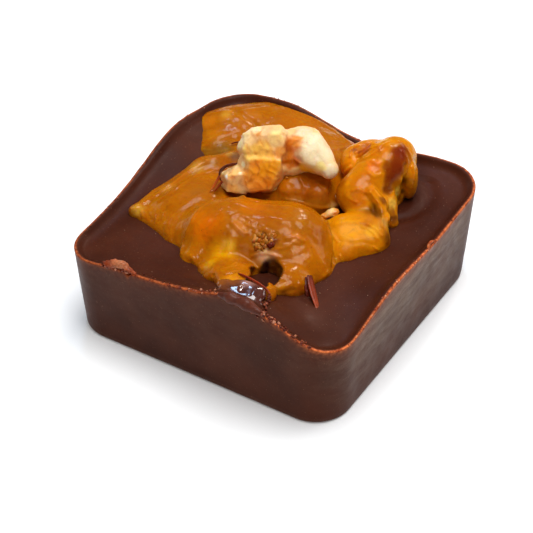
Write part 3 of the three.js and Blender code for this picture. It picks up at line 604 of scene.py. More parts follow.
TOP_FOLDS = [
    ([(-4.89, 0.86, 16.50), (-3.93, 0.82, 17.45), (-2.72, 1.40, 17.41), (-1.78, 2.00, 17.40), (-0.89, 2.47, 17.02), (-0.52, 3.17, 16.03)], 0.1, 0.16),
    ([(-4.72, 0.80, 16.18), (-3.66, 0.79, 17.02), (-2.53, 1.30, 16.99), (-1.58, 1.88, 16.99), (-0.98, 2.83, 16.07)], -0.07, 0.16),
    ([(-4.87, 2.77, 19.60), (-4.03, 2.05, 19.40), (-3.49, 1.81, 18.65), (-2.92, 1.74, 17.95)], 0.14, 0.16),
    ([(-4.16, 3.75, 19.54), (-3.24, 2.69, 19.44), (-2.72, 2.47, 18.53)], -0.12, 0.18),
    ([(-5.66, 2.76, 19.03), (-4.70, 1.64, 18.71), (-4.22, 1.29, 18.01)], -0.08, 0.22),
    ([(-2.67, 3.04, 19.85), (-1.70, 3.37, 19.59), (-1.19, 4.46, 18.98), (-1.01, 5.47, 18.98)], 0.12, 0.2),
    ([(-1.29, 3.77, 18.82), (-0.78, 4.01, 17.62), (-0.60, 3.51, 16.62)], -0.22, 0.22),
    ([(-0.68, 4.92, 18.75), (0.08, 4.31, 18.18), (-0.04, 3.66, 17.02)], 0.16, 0.22),
    ([(-3.16, 0.84, 16.21), (-2.78, 0.63, 15.38), (-3.23, 0.07, 14.57)], -0.08, 0.18),
    ([(-2.36, 0.80, 15.15), (-1.64, 0.92, 14.51), (-1.67, 0.96, 13.63)], -0.12, 0.18),
    ([(-1.09, 1.30, 15.04), (-0.84, 2.40, 14.72)], 0.12, 0.2),
    ([(-6.19, 0.57, 15.20), (-5.26, -0.49, 14.84), (-5.20, -0.83, 13.67)], -0.12, 0.16),
    ([(-5.22, 0.31, 15.46), (-4.60, -0.26, 15.23), (-4.83, -0.54, 14.48)], 0.18, 0.16),
    ([(-6.80, 0.26, 14.88), (-5.87, -1.00, 14.64), (-5.46, -1.04, 13.71)], 0.14, 0.16),
    ([(0.71, 5.21, 18.82), (2.14, 4.98, 18.41), (3.48, 4.93, 17.30)], 0.08, 0.5),
    ([(-1.10, 6.93, 18.74), (0.32, 5.64, 18.82), (1.30, 4.44, 18.42)], -0.05, 0.4),
    ([(2.50, 4.17, 17.40), (3.43, 4.37, 16.80)], 0.06, 0.3),
]
CARAMEL_SPOTS = [
    ((-15.59, 9.73, 12.67), 1.03, (206, 124, 16), 0.7),
    ((-14.07, 11.34, 13.27), 0.80, (206, 152, 52), 0.7),
    ((-13.46, 7.98, 12.64), 1.03, (196, 124, 14), 0.6),
    ((-11.30, 12.51, 13.30), 1.26, (190, 116, 30), 0.6),
    ((-5.79, 14.84, 13.06), 2.97, (186, 106, 16), 0.6),
    ((-0.33, 12.50, 13.22), 1.60, (176, 104, 26), 0.6),
    ((1.60, 10.57, 13.02), 0.91, (142, 82, 12), 0.7),
    # painted shade: grey-brown where the back slab meets the wing, behind the bare walnut
    ((-11.29, 6.33, 12.17), 1.48, (132, 96, 34), 0.85),
    ((-8.24, 4.60, 13.70), 0.91, (112, 84, 62), 0.85),
    ((-13.20, 5.38, 11.74), 0.80, (136, 94, 18), 0.8),
    ((-9.17, 4.55, 13.66), 0.46, (190, 150, 70), 0.6),
    # painted highlight: pale spots along the wing's upper edge
    ((-11.59, 1.28, 12.93), 0.91, (204, 156, 70), 0.6),
    ((-12.62, -3.37, 12.52), 0.91, (196, 136, 46), 0.6),
    ((-14.02, -7.21, 11.34), 0.80, (204, 156, 56), 0.8),
    ((-9.61, -4.58, 13.09), 1.37, (178, 104, 12), 0.5),
    # painted shade: darker brown on the caramel under the bare walnut's foot
    ((-7.17, -0.28, 12.82), 1.14, (134, 78, 24), 0.8),
    ((-8.58, -8.59, 12.07), 1.03, (170, 100, 12), 0.6),
    ((-10.37, 2.79, 13.02), 0.68, (176, 130, 70), 0.6),
    ((-12.80, -6.39, 11.57), 0.68, (186, 112, 14), 0.5),
    ((-8.42, -2.69, 13.32), 1.14, (160, 100, 28), 0.5),
    ((-3.71, -8.65, 14.13), 1.71, (216, 112, 2), 0.85),
    ((-5.42, -7.43, 14.28), 1.14, (204, 112, 6), 0.6),
    ((-0.73, -10.10, 12.74), 1.37, (226, 158, 10), 0.85),
    ((-0.97, -12.32, 12.65), 0.91, (206, 146, 12), 0.8),
    ((-0.28, -9.36, 13.68), 0.68, (238, 190, 66), 0.6),
    ((2.38, -11.74, 13.41), 0.91, (190, 110, 2), 0.6),
    ((3.02, -7.06, 14.60), 1.14, (160, 98, 34), 0.85),
    ((4.06, -7.31, 14.37), 0.39, (112, 46, 30), 0.9),
    ((8.25, -6.10, 13.22), 2.28, (190, 112, 2), 0.6),
    ((1.41, -4.45, 15.36), 2.17, (172, 94, 8), 0.8),
    ((7.39, -3.59, 13.91), 1.26, (160, 86, 4), 0.8),
    ((2.35, -10.10, 12.65), 0.57, (152, 74, 2), 0.8),
    ((5.53, -3.67, 15.13), 1.37, (166, 104, 24), 0.6),
    ((-4.25, -11.10, 12.22), 0.80, (196, 120, 10), 0.6),
    ((9.59, -4.49, 11.83), 0.80, (160, 92, 2), 0.6),
    # painted highlight: pale pink on the lip above the hole
    ((3.75, -8.67, 13.09), 0.80, (228, 186, 140), 0.7),
    ((3.50, -14.68, 14.04), 1.03, (218, 142, 6), 0.85),
    ((7.73, -11.46, 11.92), 0.91, (206, 134, 12), 0.7),
    ((6.99, -13.50, 13.63), 0.68, (186, 116, 8), 0.5),
    # painted highlights: pale pinkish patches on the top of the dome
    ((-0.09, -7.40, 14.92), 0.91, (214, 140, 60), 0.5),
    ((5.98, -5.88, 14.61), 0.68, (206, 130, 60), 0.6),
    # painted shadow: dark red-brown along the caramel's front edge where it meets the chocolate
    ((9.24, -10.44, 11.29), 1.14, (150, 76, 2), 0.7),
    ((8.00, -11.49, 11.50), 0.57, (104, 48, 10), 0.85),
    ((9.42, -10.11, 11.27), 0.51, (120, 58, 6), 0.8),
    ((9.65, -7.98, 11.24), 0.46, (126, 62, 6), 0.75),
    # painted highlight: more pale pink on the lip above the hole
    ((3.53, -8.71, 13.03), 0.57, (236, 176, 136), 0.55),
    ((4.70, -8.35, 13.42), 0.46, (236, 176, 136), 0.5),
    ((-0.78, -4.25, 15.30), 1.37, (204, 112, 10), 0.5),
]
LOW_SPOTS = [
    ((9.48, 0.04, 13.01), 1.60, (232, 156, 0), 0.97),
    ((11.52, 1.33, 12.97), 0.80, (230, 170, 34), 0.7),
    ((10.83, -2.25, 11.36), 1.26, (190, 112, 0), 0.7),
    ((4.86, 4.33, 11.63), 0.57, (226, 176, 96), 0.9),
    ((10.04, -3.05, 11.15), 0.68, (190, 120, 20), 0.6),
    ((12.82, 0.43, 11.75), 0.68, (220, 140, 10), 0.6),
    ((10.60, 1.81, 13.40), 0.57, (186, 106, 6), 0.8),
    ((8.34, -1.49, 12.59), 0.57, (220, 140, 20), 0.6),
]
RIGHT_SPOTS = [
    ((4.15, 8.36, 14.83), 1.03, (226, 142, 10), 0.85),
    ((7.86, 5.42, 15.64), 1.48, (198, 108, 12), 0.6),
    ((7.97, 7.65, 16.62), 0.91, (226, 124, 36), 0.8),
    ((7.66, 9.30, 17.54), 0.91, (206, 112, 12), 0.7),
    ((9.78, 10.59, 17.13), 1.37, (126, 42, 14), 0.97),
    ((10.09, 8.92, 16.21), 1.26, (132, 48, 14), 0.97),
    ((9.99, 8.01, 15.37), 0.91, (128, 50, 12), 0.95),
    ((10.05, 7.30, 14.45), 0.68, (124, 56, 10), 0.95),
    ((10.77, 5.30, 14.36), 0.57, (110, 54, 14), 0.85),
    ((10.50, 8.64, 13.33), 0.68, (240, 196, 84), 0.98),
    ((11.14, 6.56, 13.26), 0.63, (240, 194, 82), 0.98),
    ((11.58, 10.15, 13.91), 0.68, (160, 98, 20), 0.7),
    ((10.72, 9.92, 15.55), 0.51, (136, 74, 16), 0.6),
    ((10.67, 9.91, 14.13), 0.57, (104, 56, 14), 0.7),
    ((10.59, 9.95, 12.65), 0.51, (96, 52, 16), 0.85),
    ((5.64, 10.22, 16.48), 1.03, (178, 86, 34), 0.85),
    ((4.37, 9.97, 15.87), 0.57, (190, 110, 50), 0.6),
    ((8.28, 3.84, 14.46), 1.14, (206, 116, 10), 0.7),
    ((10.38, 3.79, 13.38), 0.91, (118, 66, 10), 0.95),
    ((11.98, 3.20, 13.16), 0.68, (186, 136, 66), 0.7),
    ((13.01, 2.09, 12.24), 0.74, (104, 52, 10), 0.95),
    ((5.39, 5.07, 14.89), 0.91, (166, 86, 2), 0.8),
    # painted highlight: pale spot on the right edge of the right lobe
    ((10.83, 12.09, 15.61), 0.46, (206, 170, 120), 0.7),
    ((11.84, 5.62, 12.05), 0.68, (104, 54, 18), 0.95),
    ((4.03, 9.89, 15.79), 0.40, (152, 82, 40), 0.7),
    ((6.48, 10.98, 17.16), 0.34, (152, 78, 40), 0.6),
    # painted highlight: pale pink on the top of the left lobe
    ((4.99, 10.69, 16.22), 0.34, (200, 136, 96), 0.6),
    ((4.85, 9.81, 15.87), 0.29, (140, 66, 30), 0.7),
    ((11.38, 6.16, 12.78), 0.46, (150, 84, 24), 0.8),
]
MIDDLE_SPOTS = [
    # painted shade: darker under the bare walnut's right arm
    ((2.08, 3.43, 14.08), 1.48, (166, 86, 8), 0.85),
    # painted highlights: paler spots along the lower front edge
    ((3.76, 3.70, 13.02), 0.91, (192, 114, 34), 0.7),
    ((1.37, 1.80, 12.88), 0.68, (184, 118, 40), 0.6),
    # painted shade: darker under the bare walnut's right arm
    ((1.10, 3.32, 14.33), 0.80, (140, 74, 14), 0.6),
]
TOP_SPOTS = [
    ((-2.38, 0.83, 15.54), 2.05, (255, 166, 18), 0.95),
    ((-1.75, 1.53, 16.59), 1.26, (255, 172, 24), 0.9),
    ((-3.37, 0.97, 17.15), 0.80, (246, 152, 44), 0.85),
    ((-4.16, 1.19, 17.82), 1.03, (255, 208, 110), 0.9),
    ((-2.99, 1.84, 18.13), 1.26, (255, 196, 84), 0.85),
    ((-0.57, 4.31, 18.07), 1.20, (204, 104, 0), 1),
    ((-0.37, 3.56, 16.67), 1.03, (212, 120, 2), 1),
    ((-1.16, 2.91, 17.89), 0.68, (240, 156, 50), 0.8),
    ((-0.31, 4.94, 18.60), 0.80, (228, 140, 28), 0.95),
    ((0.75, 3.64, 16.78), 0.80, (188, 88, 0), 1),
    ((1.62, 3.93, 16.10), 0.97, (255, 196, 40), 1),
    ((-5.59, -0.17, 15.34), 0.80, (255, 192, 112), 0.8),
    ((-2.62, 0.15, 14.21), 1.03, (240, 150, 46), 0.85),
    ((-1.21, 2.15, 13.60), 0.91, (255, 230, 156), 0.95),
    ((-6.17, -0.94, 14.77), 0.48, (255, 252, 240), 0.97),
    ((-4.76, -0.21, 15.42), 0.34, (255, 240, 204), 0.9),
    ((-4.85, 0.78, 16.01), 0.46, (255, 238, 200), 0.8),
    ((-5.70, 2.62, 18.97), 1.14, (255, 220, 160), 0.9),
    ((-6.19, 2.31, 17.73), 0.80, (255, 234, 182), 0.85),
    ((-3.58, 3.66, 19.67), 1.03, (238, 188, 136), 0.85),
    ((-5.20, 3.30, 19.43), 0.80, (248, 218, 172), 0.85),
    ((-3.94, 2.55, 19.67), 0.40, (214, 134, 50), 0.85),
    ((-0.46, 6.51, 18.82), 1.03, (238, 212, 176), 0.95),
    ((1.34, 6.33, 18.78), 1.14, (240, 218, 180), 0.95),
    ((2.23, 4.84, 18.25), 2.17, (242, 222, 184), 0.97),
    ((4.36, 4.56, 16.21), 1.03, (238, 220, 188), 0.9),
    ((-1.98, 3.18, 19.47), 0.80, (255, 220, 146), 0.8),
    ((-5.20, -0.83, 13.67), 0.80, (252, 192, 104), 0.85),
    ((-4.73, 3.40, 19.54), 0.46, (252, 228, 176), 0.7),
    ((3.04, 4.16, 16.65), 0.68, (246, 224, 140), 0.85),
    ((-1.65, 0.92, 14.79), 0.68, (232, 132, 20), 0.6),
    ((-3.60, 0.04, 15.15), 0.68, (244, 160, 60), 0.7),
]
TOP_VEINS = [
    ([(-4.93, 2.66, 19.51), (-4.07, 2.12, 19.47), (-3.67, 1.90, 18.94)], 0.15, (183, 83, 8), 0.76),
    ([(-4.39, 3.07, 19.59), (-3.63, 2.25, 19.29), (-3.03, 2.12, 18.49)], 0.12, (214, 111, 20), 0.72),
    ([(-4.72, 1.25, 18.40), (-4.19, 1.24, 17.91), (-3.56, 1.49, 17.86)], 0.12, (158, 71, 7), 0.72),
    ([(-3.27, 1.01, 17.17), (-2.94, 0.89, 16.26), (-2.90, 0.61, 15.48)], 0.11, (134, 55, 6), 0.76),
    ([(-1.78, 3.70, 19.77), (-1.37, 4.33, 19.27), (-1.26, 5.23, 18.90), (-1.17, 6.17, 18.90)], 0.13, (158, 64, 7), 0.76),
    ([(-1.24, 3.69, 18.75), (-0.92, 3.60, 17.83), (-0.85, 3.27, 16.95)], 0.16, (126, 53, 4), 0.76),
    ([(-0.69, 4.08, 17.61), (-0.08, 3.72, 17.11), (-0.34, 3.30, 16.02)], 0.18, (117, 48, 4), 0.48),
    ([(-4.66, 0.70, 16.83), (-3.93, 0.82, 17.45), (-2.72, 1.40, 17.41), (-1.78, 2.00, 17.40), (-0.89, 2.47, 17.02)], 0.06, (255, 208, 66), 0.48),
    ([(-2.36, 0.80, 15.15), (-1.75, 0.87, 14.64), (-1.65, 0.71, 13.94)], 0.13, (141, 62, 9), 0.72),
    ([(-3.87, -0.16, 14.61), (-3.13, 0.34, 15.14), (-2.30, 0.70, 14.96), (-1.53, 1.16, 15.38)], 0.12, (156, 69, 12), 0.64),
    ([(-6.19, 0.57, 15.20), (-5.35, -0.55, 14.84), (-5.31, -0.85, 13.79)], 0.13, (178, 90, 14), 0.72),
    # painted shade: dark line where the walnut sits in the caramel
    ([(-1.45, 1.46, 13.39), (-1.21, 2.15, 13.60)], 0.1, (61, 25, 4), 0.72),
    ([(-6.78, 0.43, 14.92), (-5.56, -0.63, 15.09)], 0.1, (195, 104, 24), 0.64),
    # painted shade: dark line along the walnut's bottom edge, where it sits in the caramel
    ([(-4.39, -0.64, 13.17), (-3.06, -0.22, 13.56), (-2.29, 1.09, 13.02)], 0.16, (97, 32, 6), 0.72),
    ([(-3.67, 1.46, 17.97), (-2.82, 1.99, 18.11), (-1.79, 2.45, 17.79)], 0.12, (183, 88, 14), 0.64),
    ([(1.85, 6.81, 18.27), (2.52, 6.55, 17.85)], 0.11, (244, 155, 24), 0.68),
    ([(-0.68, 6.66, 18.79), (-0.13, 5.29, 18.73)], 0.09, (255, 185, 50), 0.56),
    ([(-5.57, 1.97, 18.45), (-4.55, 1.18, 18.23), (-4.12, 0.91, 17.45)], 0.12, (239, 139, 30), 0.64),
    ([(-2.59, 2.05, 17.88), (-1.85, 1.69, 17.01), (-2.04, 1.14, 15.89), (-1.66, 0.95, 15.04)], 0.12, (165, 74, 10), 0.64),
    ([(-4.16, 3.75, 19.54), (-2.95, 2.63, 19.04), (-2.06, 2.46, 18.10), (-1.32, 2.10, 17.23)], 0.09, (231, 129, 26), 0.64),
    ([(-1.71, 3.17, 19.03), (-1.09, 3.44, 18.41), (-0.68, 4.49, 18.33), (-0.21, 5.00, 18.60)], 0.14, (165, 71, 7), 0.72),
    ([(-4.54, -0.38, 14.21), (-3.29, -0.26, 14.06), (-2.08, 0.35, 14.01), (-1.22, 1.08, 14.29)], 0.1, (170, 76, 13), 0.64),
    ([(-3.76, 0.54, 16.72), (-3.30, 0.42, 15.86), (-3.46, 0.03, 14.93)], 0.1, (183, 88, 14), 0.6),
    ([(-4.33, 0.59, 16.60), (-4.51, 0.23, 15.51), (-4.56, -0.34, 14.45)], 0.1, (183, 92, 18), 0.64),
    ([(-0.80, 2.75, 15.63), (-0.84, 1.97, 14.99), (-1.23, 1.10, 14.55)], 0.1, (158, 74, 14), 0.64),
]


def along(V, pts):
    """Distance from each point to a line through pts."""
    best = np.full(len(V), 1e9)
    pts = np.asarray(pts, float)
    if len(pts) == 1:
        return np.linalg.norm(V - pts[0], axis=1)
    for a, b in zip(pts[:-1], pts[1:]):
        d = b - a
        q = V - a
        t = np.clip((q @ d) / max(d @ d, 1e-9), 0, 1)
        best = np.minimum(best, np.linalg.norm(q - t[:, None] * d, axis=1))
    return best


def relief(V, folds):
    """Height of soft ridges and creases laid along lines on the surface."""
    out = np.zeros(len(V))
    for pts, height, width in folds:
        pts = np.asarray(pts, float)
        near = ((V > pts.min(0) - 3 * width) & (V < pts.max(0) + 3 * width)).all(1)
        if near.any():
            d = along(V[near], pts)
            out[near] += height * np.exp(-((d / width) ** 2))
    return out


def warp(V, amount, size, seed):
    return V + amount * np.stack([fbm(V, size, 2, seed + k) for k in range(3)], 1)


def tinted(V, base, spots, lines=(), edge=3, uneven=0.35, size=1.5):
    """Colour at each point: a base, soft spots and thin lines, all with uneven edges."""
    C = np.tile(np.array(srgb(*base)[:3]), (len(V), 1))
    W = warp(V, uneven, size, 91)
    for centre, radius, colour, strength in spots:
        d = np.linalg.norm(W - np.array(centre), axis=1) / radius
        w = (strength * np.exp(-(d**edge) * 0.9))[:, None]
        C = C * (1 - w) + np.array(srgb(*colour)[:3]) * w
    W = warp(V, 0.24, 0.8, 97)
    for pts, width, colour, strength in lines:
        d = along(W, pts) / width
        w = (strength * np.exp(-(d**2)))[:, None]
        C = C * (1 - w) + np.array(srgb(*colour)[:3]) * w
    return C


def carved(name, field, lo, hi, h, rough=None):
    F, origin = grid_field(field, lo, hi, h)
    V, Q = surface_nets(F, origin, h)
    V, Q = biggest(V, Q)
    V = settle(field, V)
    if rough is not None:
        N = normals_of(field, V)
        V = V + N * rough(V, N)[:, None]
    print(name, len(V), "points", 2 * len(Q), "triangles")
    return V, Q


# ------------------------------------------------------------------ material helpers
def srgb(r, g, b):
    f = lambda v: (v / 255 / 12.92) if v / 255 <= 0.04045 else ((v / 255 + 0.055) / 1.055) ** 2.4
    return (f(r), f(g), f(b), 1.0)


class Mat:
    def __init__(self, name):
        self.m = bpy.data.materials.new(name)
        self.m.use_nodes = True
        self.t = self.m.node_tree
        self.b = self.t.nodes["Principled BSDF"]
        self.coord = self.t.nodes.new("ShaderNodeTexCoord")

    def node(self, kind, **props):
        n = self.t.nodes.new(kind)
        for k, v in props.items():
            setattr(n, k, v)
        return n

    def link(self, a, b):
        self.t.links.new(a, b)

    def noise(self, size_mm, detail=4, rough=0.5, distortion=0.0, stretch=None, turn=None):
        n = self.node("ShaderNodeTexNoise")
        n.inputs["Scale"].default_value = 1000.0 / size_mm
        n.inputs["Detail"].default_value = detail
        n.inputs["Roughness"].default_value = rough
        n.inputs["Distortion"].default_value = distortion
        if stretch:
            mp = self.node("ShaderNodeMapping")
            mp.inputs["Scale"].default_value = stretch
            if turn:
                mp.inputs["Rotation"].default_value = turn
            self.link(self.coord.outputs["Object"], mp.inputs["Vector"])
            self.link(mp.outputs["Vector"], n.inputs["Vector"])
        else:
            self.link(self.coord.outputs["Object"], n.inputs["Vector"])
        return n.outputs["Fac"]

    def ramp(self, fac, stops, interp="LINEAR"):
        r = self.node("ShaderNodeValToRGB")
        r.color_ramp.interpolation = interp
        els = r.color_ramp.elements
        while len(els) < len(stops):
            els.new(0.5)
        for e, (p, c) in zip(els, stops):
            e.position = p
            e.color = c if hasattr(c, "__len__") else (c, c, c, 1)
        self.link(fac, r.inputs["Fac"])
        return r.outputs["Color"]

    def mix(self, fac, a, b, blend="MIX"):
        n = self.node("ShaderNodeMix", data_type="RGBA", blend_type=blend)
        for sock, v in ((n.inputs[0], fac), (n.inputs[6], a), (n.inputs[7], b)):
            if isinstance(v, bpy.types.NodeSocket):
                self.link(v, sock)
            else:
                sock.default_value = v
        return n.outputs[2]

    def math(self, op, a, b=0.0, c=0.0, clamp=False):
        n = self.node("ShaderNodeMath", operation=op, use_clamp=clamp)
        for sock, v in zip(n.inputs, (a, b, c)):
            if isinstance(v, bpy.types.NodeSocket):
                self.link(v, sock)
            else:
                sock.default_value = v
        return n.outputs[0]

    def attr(self, name):
        return self.node("ShaderNodeAttribute", attribute_name=name)

    def bump(self, height, strength, distance_mm, normal=None):
        n = self.node("ShaderNodeBump")
        n.inputs["Strength"].default_value = strength
        n.inputs["Distance"].default_value = distance_mm * MM
        self.link(height, n.inputs["Height"])
        if normal is not None:
            self.link(normal, n.inputs["Normal"])
        return n.outputs["Normal"]

    def set(self, **kw):
        for k, v in kw.items():
            sock = self.b.inputs[k.replace("_", " ")]
            if isinstance(v, bpy.types.NodeSocket):
                self.link(v, sock)
            else:
                sock.default_value = v


# ------------------------------------------------------------------ chocolate material
def chocolate_material():
    m = Mat("dark_chocolate")
    big = m.noise(6.5, 4, 0.55)
    mid = m.noise(1.6, 5, 0.6)
    fine = m.noise(0.30, 3, 0.6)
    rim = m.attr("rim").outputs["Fac"]
    side = m.attr("side").outputs["Fac"]
    sheen = m.attr("sheen").outputs["Fac"]
    base = m.mix(m.ramp(big, [(0.35, 0.0), (0.65, 1.0)]), srgb(71, 34, 20), srgb(87, 45, 28))
    base = m.mix(m.math("MULTIPLY", m.ramp(mid, [(0.35, 0.0), (0.75, 1.0)]), 0.3), base, srgb(54, 28, 21))
    # pale streaks on the walls: painted sheen, strongest high on the face towards +X, mixed with real bloom left by
    # the mould
    streak = m.noise(1.1, 7, 0.72, 0.5, (0.55, 0.24, 1.0), (0.6, 0.0, 0.0))
    streak = m.ramp(streak, [(0.36, 0.15), (0.62, 1.0)])
    grain = m.ramp(m.noise(0.14, 2, 0.6), [(0.35, 0.72), (0.65, 1.0)])
    streak = m.math("MULTIPLY", streak, grain)
    base = m.mix(m.math("MULTIPLY", m.math("MULTIPLY", streak, sheen), 0.74), base, srgb(150, 130, 112))
    base = m.mix(m.math("MULTIPLY", m.math("MULTIPLY", m.ramp(m.noise(3.2, 4, 0.6), [(0.42, 0.0), (0.7, 1.0)]), side), 0.10), base, srgb(110, 72, 56))
    # pale dust
    dust = m.ramp(m.noise(0.17, 1, 0.4), [(0.72, 0.0), (0.77, 1.0)])
    base = m.mix(m.math("MULTIPLY", dust, 0.55), base, srgb(138, 100, 78))
    # painted glow: the thin rim is tinted warm red, as if light came through it
    red = m.mix(m.ramp(m.noise(0.45, 3, 0.6), [(0.35, 0.0), (0.65, 1.0)]), srgb(142, 60, 30), srgb(232, 132, 76))
    base = m.mix(rim, base, red)
    rough = m.math("MULTIPLY_ADD", m.ramp(mid, [(0.3, 0.0), (0.7, 1.0)]), 0.14, 0.36)
    h = m.math("ADD", m.math("MULTIPLY", fine, 0.4), mid)
    m.set(Base_Color=base, Roughness=rough, Normal=m.bump(h, 0.22, 0.10))
    m.b.inputs["Specular IOR Level"].default_value = 0.13
    m.b.inputs["Subsurface Weight"].default_value = 0.08
    m.b.inputs["Subsurface Radius"].default_value = (1.0, 0.3, 0.12)
    m.b.inputs["Subsurface Scale"].default_value = 0.0005
    return m.m


def bits_material():
    """Broken chocolate: shavings, crumbs and the glazed lip."""
    m = Mat("chocolate_bits")
    tint = m.attr("tint").outputs["Color"]
    mid = m.noise(0.7, 4, 0.6)
    fine = m.noise(0.18, 3, 0.6)
    c = m.mix(m.math("MULTIPLY", m.ramp(mid, [(0.4, 0.0), (0.7, 1.0)]), 0.45), tint, srgb(52, 22, 14))
    h = m.math("ADD", m.math("MULTIPLY", fine, 0.5), mid)
    m.set(Base_Color=c, Roughness=0.30, Normal=m.bump(h, 0.35, 0.08))
    m.b.inputs["Specular IOR Level"].default_value = 0.20
    m.b.inputs["Subsurface Weight"].default_value = 0.15
    m.b.inputs["Subsurface Radius"].default_value = (1.0, 0.35, 0.15)
    m.b.inputs["Subsurface Scale"].default_value = 0.0006
    return m.m


def glaze_material():
    """Wet chocolate where it runs over the rim."""
    m = Mat("wet_chocolate")
    tint = m.attr("tint").outputs["Color"]
    mid = m.noise(1.1, 4, 0.6)
    c = m.mix(m.math("MULTIPLY", m.ramp(mid, [(0.4, 0.0), (0.7, 1.0)]), 0.4), tint, srgb(44, 16, 12))
    m.set(Base_Color=c, Roughness=0.22, Normal=m.bump(mid, 0.2, 0.10))
    m.b.inputs["Coat Weight"].default_value = 1.0
    m.b.inputs["Coat Roughness"].default_value = 0.05
    m.b.inputs["Subsurface Weight"].default_value = 0.12
    m.b.inputs["Subsurface Radius"].default_value = (1.0, 0.3, 0.12)
    m.b.inputs["Subsurface Scale"].default_value = 0.0006
    return m.m


def caramel_material(name, rough0, coat, coat_rough=0.04):
    m = Mat(name)
    tint = m.attr("tint").outputs["Color"]
    big = m.noise(2.6, 4, 0.55, 0.8)
    mid = m.noise(0.8, 5, 0.62, 1.0)
    fine = m.noise(0.22, 3, 0.6)
    c = m.mix(m.math("MULTIPLY", m.ramp(big, [(0.45, 0.0), (0.7, 1.0)]), 0.22), tint, srgb(206, 136, 4))
    c = m.mix(m.math("MULTIPLY", m.ramp(mid, [(0.45, 0.0), (0.75, 1.0)]), 0.28), c, srgb(120, 62, 2))
    speck = m.ramp(m.noise(0.16, 1, 0.4), [(0.74, 0.0), (0.78, 1.0)])
    c = m.mix(m.math("MULTIPLY", speck, 0.22), c, srgb(232, 186, 120))
    dark = m.ramp(m.noise(0.21, 1, 0.4, 0.0, (1.0, 1.0, 1.02)), [(0.22, 1.0), (0.26, 0.0)])
    c = m.mix(m.math("MULTIPLY", dark, 0.5), c, srgb(90, 42, 8))
    rough = m.math("MULTIPLY_ADD", m.ramp(mid, [(0.3, 0.0), (0.75, 1.0)]), 0.12, rough0)
    h = m.math("ADD", m.math("MULTIPLY", fine, 0.22), mid)
    m.set(Base_Color=c, Roughness=rough, Normal=m.bump(h, 0.30, 0.10))
    m.b.inputs["Subsurface Weight"].default_value = 0.55
    m.b.inputs["Subsurface Radius"].default_value = (1.0, 0.40, 0.08)
    m.b.inputs["Subsurface Scale"].default_value = 0.0010
    m.b.inputs["Specular IOR Level"].default_value = 0.07
    m.b.inputs["Coat Weight"].default_value = coat
    m.b.inputs["Coat Roughness"].default_value = coat_rough
    return m.m


def walnut_material():
    m = Mat("bare_walnut")
    tint = m.attr("tint").outputs["Color"]
    mid = m.noise(0.8, 5, 0.65, 1.2)
    fine = m.noise(0.2, 4, 0.6)
    c = m.mix(m.math("MULTIPLY", m.ramp(mid, [(0.50, 0.0), (0.78, 1.0)]), 0.22), tint, srgb(222, 160, 84))
    vein = m.ramp(m.noise(1.3, 6, 0.7, 1.6), [(0.475, 0.0), (0.5, 1.0), (0.525, 0.0)])
    c = m.mix(m.math("MULTIPLY", vein, 0.16), c, srgb(170, 96, 40))
    c = m.mix(m.math("MULTIPLY", m.ramp(fine, [(0.55, 0.0), (0.8, 1.0)]), 0.14), c, srgb(252, 236, 200))
    h = m.math("ADD", m.math("MULTIPLY", fine, 0.45), mid)
    m.set(Base_Color=c, Roughness=0.40, Normal=m.bump(h, 0.32, 0.10))
    m.b.inputs["Specular IOR Level"].default_value = 0.28
    m.b.inputs["Subsurface Weight"].default_value = 0.45
    m.b.inputs["Subsurface Radius"].default_value = (1.0, 0.6, 0.3)
    m.b.inputs["Subsurface Scale"].default_value = 0.0008
    return m.m


CHOC = chocolate_material()
BITS = bits_material()
GLAZE = glaze_material()
CARA = caramel_material("soft_caramel", 0.22, 0.21, 0.05)
COAT = caramel_material("caramel_coat", 0.20, 0.20, 0.08)
LOW = caramel_material("yellow_coat", 0.34, 0.07)
NUT = walnut_material()


def finish_piece(ob, material, node=None):
    ob.data.materials.append(material)
    if node:
        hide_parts(node)
    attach(ob, "root")


# ------------------------------------------------------------------ the chocolate body
CRUMBLY = [(4.06, 4.36, 1.0), (4.36, 4.56, 0.35), (4.56, 4.90, 0.9), (5.10, 5.30, 1.0), (5.30, 5.44, 0.6)]


def crumble(u):
    c = np.full_like(u, 0.10)
    for a, b, s in CRUMBLY:
        w = 1 / (1 + np.exp(-(u - a) / 0.012)) * 1 / (1 + np.exp((u - b) / 0.012))
        c = np.maximum(c, s * w)
    return c


